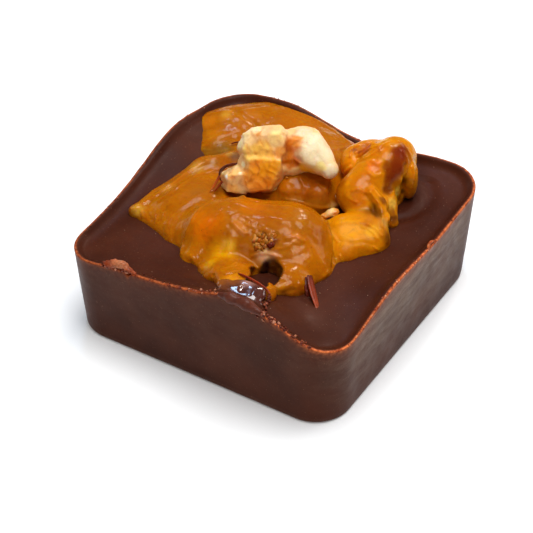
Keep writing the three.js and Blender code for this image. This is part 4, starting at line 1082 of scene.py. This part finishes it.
def chocolate_body():
    n_turn = 1000
    # more of the turns on the front face, where the rim is broken
    t = np.linspace(0, 2 * np.pi, 20001)
    dens = 1 + 0.45 * np.cos(4 * (t - np.pi / 4)) * -1 + 1.1 * np.exp(-(((t - 4.75) / 0.62) ** 4))
    cum = np.concatenate([[0], np.cumsum((dens[1:] + dens[:-1]) / 2)])
    phi = np.interp((np.arange(n_turn) + 0.5) / n_turn * cum[-1], cum, t)
    cx, cy = np.cos(phi), np.sin(phi)
    _, u = outline(cx, cy, BASE_HALF)
    edge = np.stack([cx * 18, cy * 18, np.zeros_like(cx)], 1)
    cr = crumble(u)
    rim = rim_height(u)
    rim = rim + 0.06 * fbm(edge, 1.8, 3, 3) + cr * (0.10 * fbm(edge, 0.7, 3, 9) + 0.05 * noise(edge, 0.22, 13))
    # a bite out of the rim beside the scrap on the left
    rim = rim - 0.45 * np.exp(-(((u - 4.335) / 0.016) ** 2)) + 0.18 * np.exp(-(((u - 4.24) / 0.05) ** 2))
    width = RIM_WIDTH * (1 + 0.25 * fbm(edge, 2.2, 2, 21)) + 0.12 * cr
    wall = outline(cx, cy, BASE_HALF)[0]
    rings, is_rim, is_side, is_sheen = [], [], [], []
    # the painted sheen lies on the face that looks towards +X, and a little on the others
    facing = np.clip(cx / np.maximum(np.abs(cy), 1e-3) - 0.75, 0, 1) * (cx > 0)
    facing = 0.10 + 0.9 * facing * facing * (3 - 2 * facing)

    def ring(r, z, a=0.0, b=0.0, s=0.0):
        one = np.ones(n_turn)
        rings.append(np.stack([r * cx, r * cy, z * one], 1))
        is_rim.append(a * one)
        is_side.append(b * one)
        is_sheen.append(s * one)

    for k in (0.3, 0.7, 0.93, 1.0):
        ring((wall - BASE_FILLET) * k, 0)
    for a in np.linspace(0, np.pi / 2, 6)[1:]:
        ring(wall - BASE_FILLET * (1 - math.sin(a)), BASE_FILLET * (1 - math.cos(a)), 0, 1, 0.2)
    n_wall = 26
    er = 0.16
    for k in range(1, n_wall + 1):
        q = k / n_wall
        z = BASE_FILLET + (rim - er - BASE_FILLET) * q
        P = np.stack([wall * cx, wall * cy, z], 1)
        out = 0.045 * fbm(P, 5.0, 2, 31) + 0.014 * fbm(P, 1.3, 2, 37) + cr * 0.05 * noise(P, 0.3, 39) * np.exp(-(rim - z) / 0.35)
        fade = np.exp(-(rim - z) / 0.4)
        h = z / rim
        # the painted sheen is strongest high on the wall
        band = np.clip((h - 0.10) / 0.75, 0, 1) * (1 - 0.35 * np.exp(-(((h - 1.0) / 0.06) ** 2)))
        # the rim's painted glow reaches a little way down the top of the wall
        ring(wall + z * DRAFT + out * (1 - 0.8 * fade), z, 0.30 * np.exp(-(rim - er - z) / 0.22) + 0.20 * np.exp(-(rim - z) / 0.9), 1, facing * band)
    outer = wall + rim * DRAFT
    for a in np.linspace(0, np.pi / 2, 5)[1:]:
        ring(outer - er * (1 - math.cos(a)), rim - er * (1 - math.sin(a)), 0.45 + 0.55 * math.sin(a))
    # across the rim and down its soft inner slope
    slope = 0.42
    reach_in = np.concatenate([np.linspace(er, width.mean(), 7)[1:] - er, width.mean() - er + np.linspace(0, 2.6, 20)[1:] ** 1.0])
    flat = width - er
    for d in reach_in:
        s = d / (width.mean() - er)
        dd = np.where(d < width.mean() - er, s * flat, flat + d - (width.mean() - er))
        r = outer - er - dd
        x, y = r * cx, r * cy
        zl = top_height(x, y)
        w = np.exp(-(np.maximum(dd - 0.12, 0) / slope) ** 1.6)
        P = np.stack([x, y, rim], 1)
        lump_ = cr * (0.10 * fbm(P, 0.5, 2, 63) + 0.05 * noise(P, 0.2, 67)) * np.exp(-dd / 0.5)
        z = zl + (rim - zl) * w + lump_
        ring(r, z, np.clip(1.0 - dd / (0.20 + 0.25 * cr), 0, 1))
    start = outer - er - flat - 2.6
    z_end = z
    n_in = 34
    for k in range(1, n_in + 1):
        f = 1 - k / n_in
        r = start * max(f, 0.0005)
        x, y = r * cx, r * cy
        P = np.stack([x, y, 0 * x], 1)
        z = top_height(x, y)
        z = z + (0.035 * fbm(P, 4.0, 2, 41) + 0.010 * fbm(P, 1.1, 2, 43)) * min(1, k / 4)
        # soft rings in the chocolate round the walnut on the right
        d = np.hypot(x - 8.6, y - 10.6)
        w = np.exp(-(((d - 4.4) / 1.6) ** 2)) * (x > 7)
        z = z - 0.28 * w + 0.13 * w * np.cos((d - 3.6) / 0.36)
        ring(r, z)
    V = np.concatenate(rings)
    m = len(rings)
    i = np.arange(n_turn)
    j = (i + 1) % n_turn
    quads = np.concatenate([np.stack([k * n_turn + i, k * n_turn + j, (k + 1) * n_turn + j, (k + 1) * n_turn + i], 1) for k in range(m - 1)])
    V = np.concatenate([V, [[0, 0, 0]], [V[-n_turn:].mean(0)]])
    lo, hi = len(V) - 2, len(V) - 1
    tris = np.concatenate([
        np.stack([np.full(n_turn, lo), j, i], 1),
        np.stack([(m - 1) * n_turn + i, (m - 1) * n_turn + j, np.full(n_turn, hi)], 1),
    ])
    ob = to_object("chocolate", V, [quads, tris])
    # painted glow: the rim's warm tint is strongest on the face towards +X, as if the light came through it there
    tone = 0.60 + 0.36 * np.clip((np.cos(u - 0.35) + 0.15) / 0.5, 0, 1) - 0.06 * np.exp(-(((u - 4.3) / 0.35) ** 2))
    tone = tone * (1 + 0.25 * fbm(edge, 1.6, 3, 27))
    paint(ob, "rim", np.clip(np.concatenate([a * tone for a in is_rim] + [[0, 0]]), 0, 1))
    paint(ob, "side", np.concatenate(is_side + [[0, 0]]))
    paint(ob, "sheen", np.concatenate(is_sheen + [[0, 0]]))
    print("chocolate", len(V), "points", 2 * len(quads) + len(tris), "triangles")
    finish_piece(ob, CHOC, "chocolate_body")


chocolate_body()

# ------------------------------------------------------------------ caramel and what is stuck in it
SOFT = {"caramel": CARAMEL, "low": NUT_LOW, "right": NUT_RIGHT, "middle": NUT_MIDDLE}
ALL_SPOTS = CARAMEL_SPOTS + LOW_SPOTS + RIGHT_SPOTS + MIDDLE_SPOTS
ALL_FOLDS = CARAMEL_FOLDS + LOW_FOLDS + RIGHT_FOLDS + MIDDLE_FOLDS


def shares(P):
    v = {k: mass(g, P) for k, g in SOFT.items()}
    v["caramel"] = smax(v["caramel"], -mass(HOLE, warp(P, 0.35, 1.4, 71)), 0.25)
    v["caramel"] = smax(v["caramel"], -mass(NOTCH, P), 0.9)
    return v


def soft_field(own):
    """One piece of the soft mass. Its skin runs on into its neighbours', and dips under
    theirs where they meet."""

    def field(P):
        v = shares(P)
        rest = np.minimum.reduce([v[k] for k in v if k != own])
        whole = smin(smin(smin(v["caramel"], v["low"], 0.8), v["right"], 0.7), v["middle"], 0.5)
        over = v[own] - rest
        f = whole + 0.08 * np.clip(over / 0.35, 0, 1)
        f = np.maximum(f, v[own] - 0.75)
        low = top_height(P[:, 0], P[:, 1]) - 0.25 - P[:, 2]
        R, _ = outline(P[:, 0], P[:, 1], INNER_HALF)
        outside = np.hypot(P[:, 0], P[:, 1]) - R - 0.45
        return np.maximum(np.maximum(f, low), outside)

    return field


def grainy(V, spots):
    """Where nut pieces show through as small bumps."""
    out = np.zeros(len(V))
    for centre, radius, height, size in spots:
        d = np.linalg.norm(V - np.array(centre), axis=1) / radius
        out += np.exp(-(d**4)) * height * fbm(V, size, 2, 103)
    return out


GRAINY = [((2.95, -7.5, 14.3), 1.35, 0.42, 0.55), ((0.9, -6.6, 14.9), 1.2, 0.14, 0.5)]


def soft_piece(name, node, own, lo, hi, h, material, base, big, small):
    def rough(V, N):
        flow = warp(V, 0.8, 3.0, 47) * np.array([0.75, 1.0, 1.3])
        return (big * fbm(flow, 2.2, 3, 51) + small * fbm(V, 0.7, 2, 57)
                + relief(V, ALL_FOLDS) + grainy(V, GRAINY))

    V, Q = carved(name, soft_field(own), lo, hi, h, rough)
    ob = to_object(name, V, Q)
    C = tinted(V, base, ALL_SPOTS, (), 4.5, 0.40, 1.1) if own == "right" else tinted(V, base, ALL_SPOTS)
    # painted shade: the sides of the hole are darkened to chocolate brown
    w = np.clip(0.66 - mass(HOLE, V) / 0.24, 0, 1) * np.clip((14.9 - V[:, 2]) / 0.4, 0, 1)
    C = C * (1 - w[:, None]) + np.array(srgb(58, 26, 18)[:3]) * w[:, None]
    paint(ob, "tint", C)
    finish_piece(ob, material, node)


H_SOFT = 0.14
H_NUT = 0.095
soft_piece("caramel_toffee", "caramel", "caramel", (-18.9, -17.5, 10.0), (12.5, 18.5, 16.5), H_SOFT, CARA, (172, 100, 2), 0.11, 0.03)
soft_piece("nut_right", "walnut_right", "right", (1.0, 2.0, 10.0), (13.5, 16, 19.8), H_NUT, COAT, (210, 132, 6), 0.09, 0.03)
soft_piece("nut_low", "walnut_low", "low", (4, -5.5, 9.8), (14.5, 6.5, 16), H_NUT, LOW, (204, 126, 0), 0.05, 0.02)
soft_piece("nut_middle", "walnut_middle", "middle", (-2, 0, 10.5), (7, 7, 16.8), H_NUT, COAT, (182, 106, 12), 0.08, 0.03)


# ------------------------------------------------------------------ the bare walnut on top
def nut_top():
    field = lambda P: mass(NUT_TOP, P)

    def rough(V, N):
        a = fbm(V, 2.0, 3, 61)
        b = 1 - 2 * np.abs(fbm(warp(V, 0.5, 1.5, 63), 1.3, 2, 65))
        smooth = np.clip((V[:, 0] - 0.3) / 1.5, 0, 1)
        return (0.08 * a + 0.10 * (b - 0.5)) * (1 - 0.7 * smooth) + 0.03 * fbm(V, 0.45, 2, 67) + 0.25 * relief(V, TOP_FOLDS)

    V, Q = carved("nut_top", field, (-9, -4, 12.5), (7, 10, 20.8), H_NUT, rough)
    ob = to_object("nut_top", V, Q)
    veins = [(p, 1.3 * w, c, 0.46 * s) for p, w, c, s in TOP_VEINS]
    paint(ob, "tint", tinted(V, (242, 198, 138), TOP_SPOTS, veins, 6, 0.42, 0.9))
    finish_piece(ob, NUT, "walnut_top")


nut_top()


# ------------------------------------------------------------------ the wet lip over the rim
def front_rim(x, inset=0.3, up=0.0):
    """A point on the front rim."""
    x = np.atleast_1d(np.asarray(x, float))
    z = np.full_like(x, 13.0)
    y = -(BASE_HALF + z * DRAFT)
    for _ in range(12):
        R, u = outline(x, y, BASE_HALF)
        z = rim_height(u)
        y = y * (R + z * DRAFT) / np.hypot(x, y)
    return np.stack([x, y + inset, z + up], 1)


def wet_lip():
    """A glossy brown pool lying in the gap of the rim, amber where it leaves the caramel."""
    parts = [lump([5.3, -15.45, 13.75], [2.1, 1.15, 0.55], 12, 0.5), lump([3.3, -15.35, 13.65], [1.2, 0.9, 0.45], 12, 0.5),
             lump([6.7, -15.2, 13.65], [1.15, 1.1, 0.55], 31, 0.5), lump([4.6, -16.5, 13.75], [1.7, 0.75, 0.45], 6, 0.5),
             lump([6.6, -16.4, 13.6], [1.6, 0.8, 0.5], 6, 0.5), lump([5.6, -14.55, 13.95], [1.7, 0.6, 0.38], 4, 0.4)]
    field = lambda P: mass(parts, P)

    def rough(V, N):
        dents = relief(V, [([(4.2, -15.9, 14.1), (4.9, -15.4, 14.2)], 0.10, 0.35), ([(5.2, -15.2, 14.2), (5.5, -15.9, 14.1)], -0.12, 0.30),
                           ([(6.6, -15.0, 14.1), (6.8, -15.9, 14.1)], 0.12, 0.30)])
        return 0.05 * fbm(V, 1.3, 2, 111) + dents

    V, Q = carved("wet_lip", field, (1.2, -18.6, 12.4), (9.2, -12.8, 15.0), 0.07, rough)
    ob = to_object("wet_lip", V, Q)
    # the first spot, pale pink, is a painted reflection on the wet lip
    spots = [((5.3, -14.4, 14.2), 0.75, (196, 150, 140), 0.75), ((2.9, -15.3, 13.9), 1.1, (150, 82, 6), 0.95), ((4.0, -14.9, 13.9), 0.9, (140, 74, 10), 0.8),
             ((3.9, -16.2, 13.9), 0.8, (120, 60, 10), 0.7)]
    paint(ob, "tint", tinted(V, (88, 38, 24), spots))
    finish_piece(ob, GLAZE)

    # below it, a smooth apron that has run a little way down the wall
    a, b, c, d = front_rim([3.9, 5.3, 7.2, 8.7], 0.22, -0.15)
    parts = [strand(a, b, 0.26, 0.52, 0.4), strand(b, c, 0.52, 0.58, 0.5), strand(c, d, 0.58, 0.36, 0.5),
             lump([6.3, -17.0, 13.55], [2.2, 0.8, 0.45], 4, 0.5)]
    field = lambda P: mass(parts, P)

    def rough(V, N):
        low = np.exp(-((V[:, 2] - 13.3) / 0.25) ** 2) * (V[:, 1] < -17.6)
        return 0.05 * fbm(V, 1.1, 3, 115) + low * 0.06 * fbm(V, 0.4, 2, 117)

    V, Q = carved("lip_apron", field, (2.8, -19.2, 12.0), (10.0, -15.6, 15.0), 0.07, rough)
    ob = to_object("lip_apron", V, Q)
    paint(ob, "tint", tinted(V, (104, 58, 44), [((7.4, -17.6, 13.6), 1.2, (124, 70, 54), 0.6), ((4.4, -17.8, 13.8), 1.0, (88, 46, 34), 0.6)]))
    finish_piece(ob, BITS)


wet_lip()


# ------------------------------------------------------------------ crumbs, shavings and scraps
def ball(div):
    bm = bmesh.new()
    bmesh.ops.create_icosphere(bm, subdivisions=div, radius=1.0)
    V = np.array([v.co[:] for v in bm.verts])
    F = np.array([[v.index for v in f.verts] for f in bm.faces])
    bm.free()
    return V, F


def crumbs(name, places, material, div=2, bumpy=0.35):
    """Small uneven crumbs as one piece: places holds middle, size and colour of each."""
    B, F = ball(div)
    rs = np.random.RandomState(5)
    Vs, Fs, Cs, n = [], [], [], 0
    for k, (c, r, col) in enumerate(places):
        A = turned(*rs.uniform(0, 360, 3))
        s = r * rs.uniform(0.65, 1.25, 3)
        P = B * (1 + bumpy * fbm(B * 1.0 + k * 7.1, 1.1, 2, 121))[:, None]
        P = (P * s) @ A.T + np.asarray(c)
        Vs.append(P)
        Fs.append(F + n)
        Cs.append(np.tile(np.array(srgb(*col)[:3]), (len(B), 1)))
        n += len(B)
    ob = to_object(name, np.concatenate(Vs), np.concatenate(Fs))
    paint(ob, "tint", np.concatenate(Cs))
    print(name, n, "points", sum(len(f) for f in Fs), "triangles")
    finish_piece(ob, material)


rs = np.random.RandomState(23)
REDS = [(140, 72, 48), (116, 56, 40), (160, 92, 68), (98, 48, 36), (188, 128, 100)]
pl = []
for x0, x1, count, size, lift in ((-11.6, -8.0, 40, 0.17, 0.10), (-7.6, -2.4, 14, 0.08, 0.03), (-2.4, 3.4, 34, 0.12, 0.02),
                                  (8.3, 11.6, 46, 0.17, 0.02), (11.6, 14.8, 24, 0.12, 0.0)):
    xs = rs.uniform(x0, x1, count)
    P = front_rim(xs, 0, 0)
    for p in P:
        p = p + np.array([0, rs.uniform(0.02, 0.6), rs.uniform(-0.10, 0.12) + lift])
        pl.append((p, size * rs.uniform(0.5, 1.25), REDS[rs.randint(len(REDS))]))
# crumbs where the wet lip ends
for x in rs.uniform(5.6, 9.4, 26):
    p = front_rim(x, 0, 0)[0] + np.array([0, rs.uniform(0.0, 0.08), rs.uniform(-0.75, -0.45)])
    pl.append((p, rs.uniform(0.06, 0.15), REDS[rs.randint(len(REDS))]))
for t in np.linspace(0, 1, 26):
    p = np.array([8.9 - 1.0 * t, -17.2 + 2.9 * t, 13.7 - 0.1 * t]) + rs.uniform(-0.2, 0.2, 3)
    pl.append((p, rs.uniform(0.08, 0.2), REDS[rs.randint(4)]))
# single specks round the rest of the rim
for a in rs.uniform(0, 2 * np.pi, 90):
    x, y = np.array([math.cos(a)]), np.array([math.sin(a)])
    R, u = outline(x, y, BASE_HALF)
    z = rim_height(u)[0]
    r = R[0] + z * DRAFT - rs.uniform(0.03, 0.4)
    pl.append((np.array([r * x[0], r * y[0], z + rs.uniform(-0.04, 0.03)]), rs.uniform(0.04, 0.10), REDS[rs.randint(len(REDS))]))
for y in rs.uniform(-14.5, 4.0, 34):
    x, y = np.array([18.0]), np.array([y])
    R, u = outline(x, y, BASE_HALF)
    z = rim_height(u)[0]
    q = (R[0] + z * DRAFT - rs.uniform(0.06, 0.22)) / math.hypot(x[0], y[0])
    pl.append((np.array([x[0] * q, y[0] * q, z - rs.uniform(0.0, 0.05)]), rs.uniform(0.06, 0.13), [(236, 170, 130), (214, 120, 76), (170, 80, 50)][rs.randint(3)]))
crumbs("rim_crumbs", pl, BITS)

# pale flecks lying on the chocolate's top
pl = []
while len(pl) < 260:
    x, y = rs.uniform(-16.5, 16.5, 2)
    R, _ = outline(np.array([x]), np.array([y]), INNER_HALF)
    if math.hypot(x, y) < R[0] - 0.6:
        z = float(top_height(np.array([x]), np.array([y]))[0])
        pl.append((np.array([x, y, z]), rs.uniform(0.025, 0.06), [(150, 108, 84), (120, 78, 58), (176, 138, 112)][rs.randint(3)]))
crumbs("top_flecks", pl, BITS, div=1)


def scrap():
    """The ragged scrap standing on the rim at the left of the front."""
    c = front_rim([-10.6, -9.7, -8.9, -8.3], 0.35, 0.25)
    parts = [lump(c[0], [0.8, 0.42, 0.26], 0, 0.3), lump(c[1] + [0, 0.1, 0.22], [0.85, 0.5, 0.42], 0, 0.3, roll=10),
             lump(c[2] + [0, 0.15, 0.30], [0.7, 0.45, 0.40], 0, 0.3), lump(c[3] + [0.1, 0.1, -0.05], [0.45, 0.35, 0.35], 0, 0.25),
             strand(c[3] + [0.1, 0, 0], front_rim(-7.2, 0.3, 0.02)[0], 0.26, 0.16, 0.25)]
    field = lambda P: mass(parts, P)
    rough = lambda V, N: 0.16 * fbm(V, 0.7, 3, 131) + 0.06 * fbm(V, 0.25, 2, 133)
    V, Q = carved("rim_scrap", field, (-12.2, -18.8, 10.2), (-6.2, -15.8, 13.8), 0.065, rough)
    ob = to_object("rim_scrap", V, Q)
    paint(ob, "tint", tinted(V, (158, 78, 44), [((-9.2, -17.2, 12.6), 0.9, (206, 138, 98), 0.7), ((-10.7, -17.3, 11.8), 0.7, (120, 52, 28), 0.7)]))
    finish_piece(ob, BITS)


scrap()


def sliver(name, pts, widths, thick, side, colours, material, curl=0.0):
    """A thin shaving: a flat blade carried along a bent line."""
    pts = np.asarray(pts, float)
    n, m = 40, 16
    t = np.linspace(0, 1, n)
    k = np.linspace(0, 1, len(pts))
    C = np.stack([np.interp(t, k, pts[:, a]) for a in range(3)], 1)
    for _ in range(6):
        C[1:-1] = (C[:-2] + 2 * C[1:-1] + C[2:]) / 4
    W = np.interp(t, np.linspace(0, 1, len(widths)), widths) * (1 + 0.14 * fbm(C, 0.6, 2, 141))
    T = np.gradient(C, axis=0)
    T /= np.linalg.norm(T, axis=1)[:, None]
    S = np.asarray(side, float) - (T @ np.asarray(side, float))[:, None] * T
    S /= np.linalg.norm(S, axis=1)[:, None]
    N = np.cross(T, S)
    th = np.arange(m) / m * 2 * np.pi
    V = []
    for i in range(n):
        for a in th:
            s = math.copysign(abs(math.cos(a)) ** 0.7, math.cos(a)) * W[i] / 2
            b = math.sin(a) * thick * min(1, W[i] / max(widths) + 0.3) / 2 + curl * (2 * s / max(widths)) ** 2
            V.append(C[i] + S[i] * s + N[i] * b)
    V = np.array(V)
    V = V + 0.02 * np.stack([fbm(V, 0.35, 2, 143 + q) for q in range(3)], 1)
    F = []
    for i in range(n - 1):
        for q in range(m):
            F.append([i * m + q, i * m + (q + 1) % m, (i + 1) * m + (q + 1) % m, (i + 1) * m + q])
    V = np.concatenate([V, [C[0]], [C[-1]]])
    caps = [[n * m, (q + 1) % m, q] for q in range(m)] + [[n * m + 1, (n - 1) * m + q, (n - 1) * m + (q + 1) % m] for q in range(m)]
    ob = to_object(name, V, [np.array(F), np.array(caps)])
    g = np.concatenate([np.repeat(t, m), [0, 1]])
    cols = np.array([srgb(*c)[:3] for c in colours])
    paint(ob, "tint", np.stack([np.interp(g, np.linspace(0, 1, len(cols)), cols[:, a]) for a in range(3)], 1))
    finish_piece(ob, material)


sliver("shaving_front", [(9.35, -8.5, 12.75), (10.0, -9.2, 12.3), (10.9, -10.1, 11.7), (11.9, -11.05, 11.0), (12.35, -11.4, 10.62)],
       [0.75, 0.95, 0.85, 0.6, 0.15], 0.20, (-0.55, -0.75, 0.55), [(112, 44, 26), (142, 58, 30), (160, 70, 36), (190, 96, 50)], BITS, 0.10)
sliver("shaving_front_b", [(9.1, -8.6, 12.45), (9.5, -9.2, 12.0), (10.0, -9.8, 11.4), (10.2, -10.1, 10.9)],
       [0.5, 0.8, 0.7, 0.3], 0.18, (-0.7, -0.6, 0.3), [(96, 36, 22), (112, 42, 24), (84, 34, 22)], BITS, 0.06)
sliver("chip_edge", [(3.55, -13.55, 14.10), (4.3, -13.75, 14.32), (5.3, -13.8, 14.30), (6.4, -13.9, 14.15), (7.3, -14.0, 13.95), (8.0, -14.3, 13.7)],
       [0.14, 0.24, 0.22, 0.26, 0.22, 0.14], 0.24, (0.1, 0.4, 0.9), [(176, 78, 44), (150, 58, 30), (168, 74, 42), (140, 54, 30), (170, 80, 46)], BITS, 0.05)
sliver("rim_nub", [(17.62, 2.8, 12.08), (17.58, 3.05, 12.2), (17.5, 3.3, 12.34), (17.5, 3.6, 12.36), (17.5, 3.9, 12.28), (17.5, 4.3, 12.12)],
       [0.2, 0.34, 0.42, 0.32, 0.36, 0.2], 0.34, (1.0, 0.1, 0.3), [(170, 80, 36), (214, 124, 70), (160, 74, 34), (206, 110, 56), (150, 66, 32)], BITS, 0.04)
sliver("curl_behind", [(-6.75, -1.05, 14.3), (-7.0, -0.95, 14.9), (-7.05, -0.7, 15.4), (-6.85, -0.1, 15.65), (-6.35, 0.75, 15.65), (-5.6, 1.7, 15.5)],
       [0.22, 0.50, 0.62, 0.50, 0.40, 0.22], 0.20, (0.1, -0.3, 1.0), [(104, 48, 36), (90, 38, 26), (104, 48, 36), (130, 70, 52)], BITS, 0.10)
sliver("splinter_a", [(-7.35, -2.35, 13.35), (-7.15, -1.9, 13.9), (-6.85, -1.1, 15.0)],
       [0.10, 0.30, 0.42], 0.20, (0.8, 0.2, 0.5), [(216, 124, 58), (198, 98, 40), (160, 74, 34)], BITS, 0.05)
sliver("splinter_b", [(-6.95, -2.2, 13.4), (-6.7, -1.85, 13.9), (-6.35, -1.35, 14.6)],
       [0.10, 0.26, 0.34], 0.20, (0.8, 0.2, 0.5), [(190, 94, 40), (172, 78, 34), (130, 58, 30)], BITS, 0.05)
sliver("splinter_c", [(-10.75, 7.4, 12.75), (-10.35, 7.8, 12.8), (-10.0, 8.2, 12.75)],
       [0.15, 0.34, 0.15], 0.14, (0.3, -0.6, 0.8), [(120, 50, 34), (96, 40, 28)], BITS, 0.0)

crumbs("nut_crumbs", [((-0.75, 3.55, 14.65), 0.22, (214, 160, 70)), ((-0.5, 3.0, 14.6), 0.16, (190, 120, 40)), ((0.9, 5.0, 18.75), 0.06, (200, 150, 70)),
                      ((-4.1, 5.6, 19.2), 0.05, (190, 130, 60))], NUT, div=3)


def flake():
    """A pale flake of kernel that shows between the coated pieces."""
    parts = [chunk([6.05, 1.95, 12.98], [0.85, 0.50, 0.50], 52, 0.2, [([0.1, -0.3, 0.95], 0.30), ([0.6, -0.7, 0.3], 0.36), ([-0.9, 0.1, 0.4], 0.55)], 0.08), lump([5.55, 1.25, 12.8], [0.5, 0.3, 0.28], 40, 0.2)]
    rough = lambda V, N: 0.16 * fbm(V, 0.5, 3, 151)
    V, Q = carved("nut_flake", lambda P: mass(parts, P), (4.2, -0.2, 12.0), (7.8, 3.6, 14.4), 0.07, rough)
    ob = to_object("nut_flake", V, Q)
    paint(ob, "tint", tinted(V, (214, 144, 58), [((6.1, 1.7, 13.3), 0.5, (246, 212, 154), 0.85)]))
    finish_piece(ob, COAT)


flake()

# nut pieces showing in the caramel on the front of the dome
BITS_AT = [
    (1.98, -7.65, 14.29), (3.13, -8.06, 13.80), (3.58, -6.73, 14.75), (3.60, -7.59, 14.23), (3.86, -7.39, 14.34),
    (2.56, -7.34, 14.46), (2.29, -7.11, 14.60), (3.96, -7.35, 14.35), (3.30, -7.94, 13.93), (3.17, -8.13, 13.73),
    (2.70, -7.79, 14.13), (3.01, -7.87, 14.03), (2.44, -8.19, 13.74), (3.91, -7.06, 14.55), (3.64, -6.83, 14.70),
    (2.92, -7.72, 14.17), (2.24, -7.24, 14.53), (2.57, -7.99, 13.93), (2.10, -8.06, 13.92), (2.40, -7.50, 14.36),
    (3.20, -7.40, 14.35), (2.71, -7.59, 14.28), (2.44, -6.94, 14.69), (2.87, -8.06, 13.83), (3.25, -7.10, 14.55),
]
pl = []
for p in BITS_AT:
    col = [(196, 116, 40), (172, 92, 22), (206, 134, 70), (140, 68, 18)][rs.randint(4)]
    pl.append((np.array(p) + [0, 0, rs.uniform(-0.34, -0.16)], rs.uniform(0.22, 0.44), col))
pl.append(((4.0, -7.75, 14.1), 0.36, (104, 40, 26)))
crumbs("nut_bits", pl, COAT, div=3, bumpy=0.9)


# ------------------------------------------------------------------ floor, light
def floor():
    s = 1.2
    me = bpy.data.meshes.new("floor")
    me.from_pydata([(-s, -s, 0), (s, -s, 0), (s, s, 0), (-s, s, 0)], [], [(0, 1, 2, 3)])
    ob = bpy.data.objects.new("floor", me)
    ob.location = (0, 0, -0.00002)
    bpy.context.scene.collection.objects.link(ob)
    m = Mat("pale_floor")
    m.set(Base_Color=(0.88, 0.88, 0.88, 1), Roughness=0.9)
    m.b.inputs["Specular IOR Level"].default_value = 0.1
    m.b.inputs["Emission Color"].default_value = (1, 1, 1, 1)
    m.b.inputs["Emission Strength"].default_value = 0.10
    me.materials.append(m.m)


floor()


def area(name, towards, dist, size, power, colour=(1, 1, 1), size_y=None):
    """A soft light in that direction from the part, in picture terms: right, away, up."""
    away = Vector((-math.sin(AZ), math.cos(AZ), 0))
    d = (RIGHT * towards[0] + away * towards[1] + Vector((0, 0, 1)) * towards[2]).normalized()
    data = bpy.data.lights.new(name, "AREA")
    data.shape = "RECTANGLE"
    data.size = size
    data.size_y = size_y or size
    data.energy = power
    data.color = colour
    ob = bpy.data.objects.new(name, data)
    ob.location = Vector((0, 0, 0.01)) + d * dist
    ob.rotation_mode = "QUATERNION"
    ob.rotation_quaternion = (-d).to_track_quat("-Z", "Y")
    bpy.context.scene.collection.objects.link(ob)
    return ob


area("overhead", (0.12, -0.05, 1.0), 0.55, 0.34, 2.7, (0.98, 0.99, 1.0))
area("right_back", (1.0, 0.55, 0.55), 0.6, 0.22, 0.32, (1.0, 1.0, 1.0))
area("left_back", (-0.9, 0.9, 0.35), 0.6, 0.16, 0.10, (1.0, 1.0, 1.0))
area("front", (-0.5, -1.0, 0.7), 0.7, 0.35, 0.55)
area("window", (-0.10, 0.60, 0.85), 0.4, 0.05, 0.18, (0.45, 0.70, 1.0), 0.08)
area("spark", (0.35, 0.70, 0.62), 0.4, 0.05, 0.20, (1.0, 0.93, 0.88), 0.05)
world = bpy.data.worlds.new("studio")
world.use_nodes = True
world.node_tree.nodes["Background"].inputs["Color"].default_value = (1, 1, 1, 1)
world.node_tree.nodes["Background"].inputs["Strength"].default_value = 0.14
bpy.context.scene.world = world
bpy.context.scene.view_settings.view_transform = "Standard"
bpy.context.scene.view_settings.look = "Medium High Contrast"
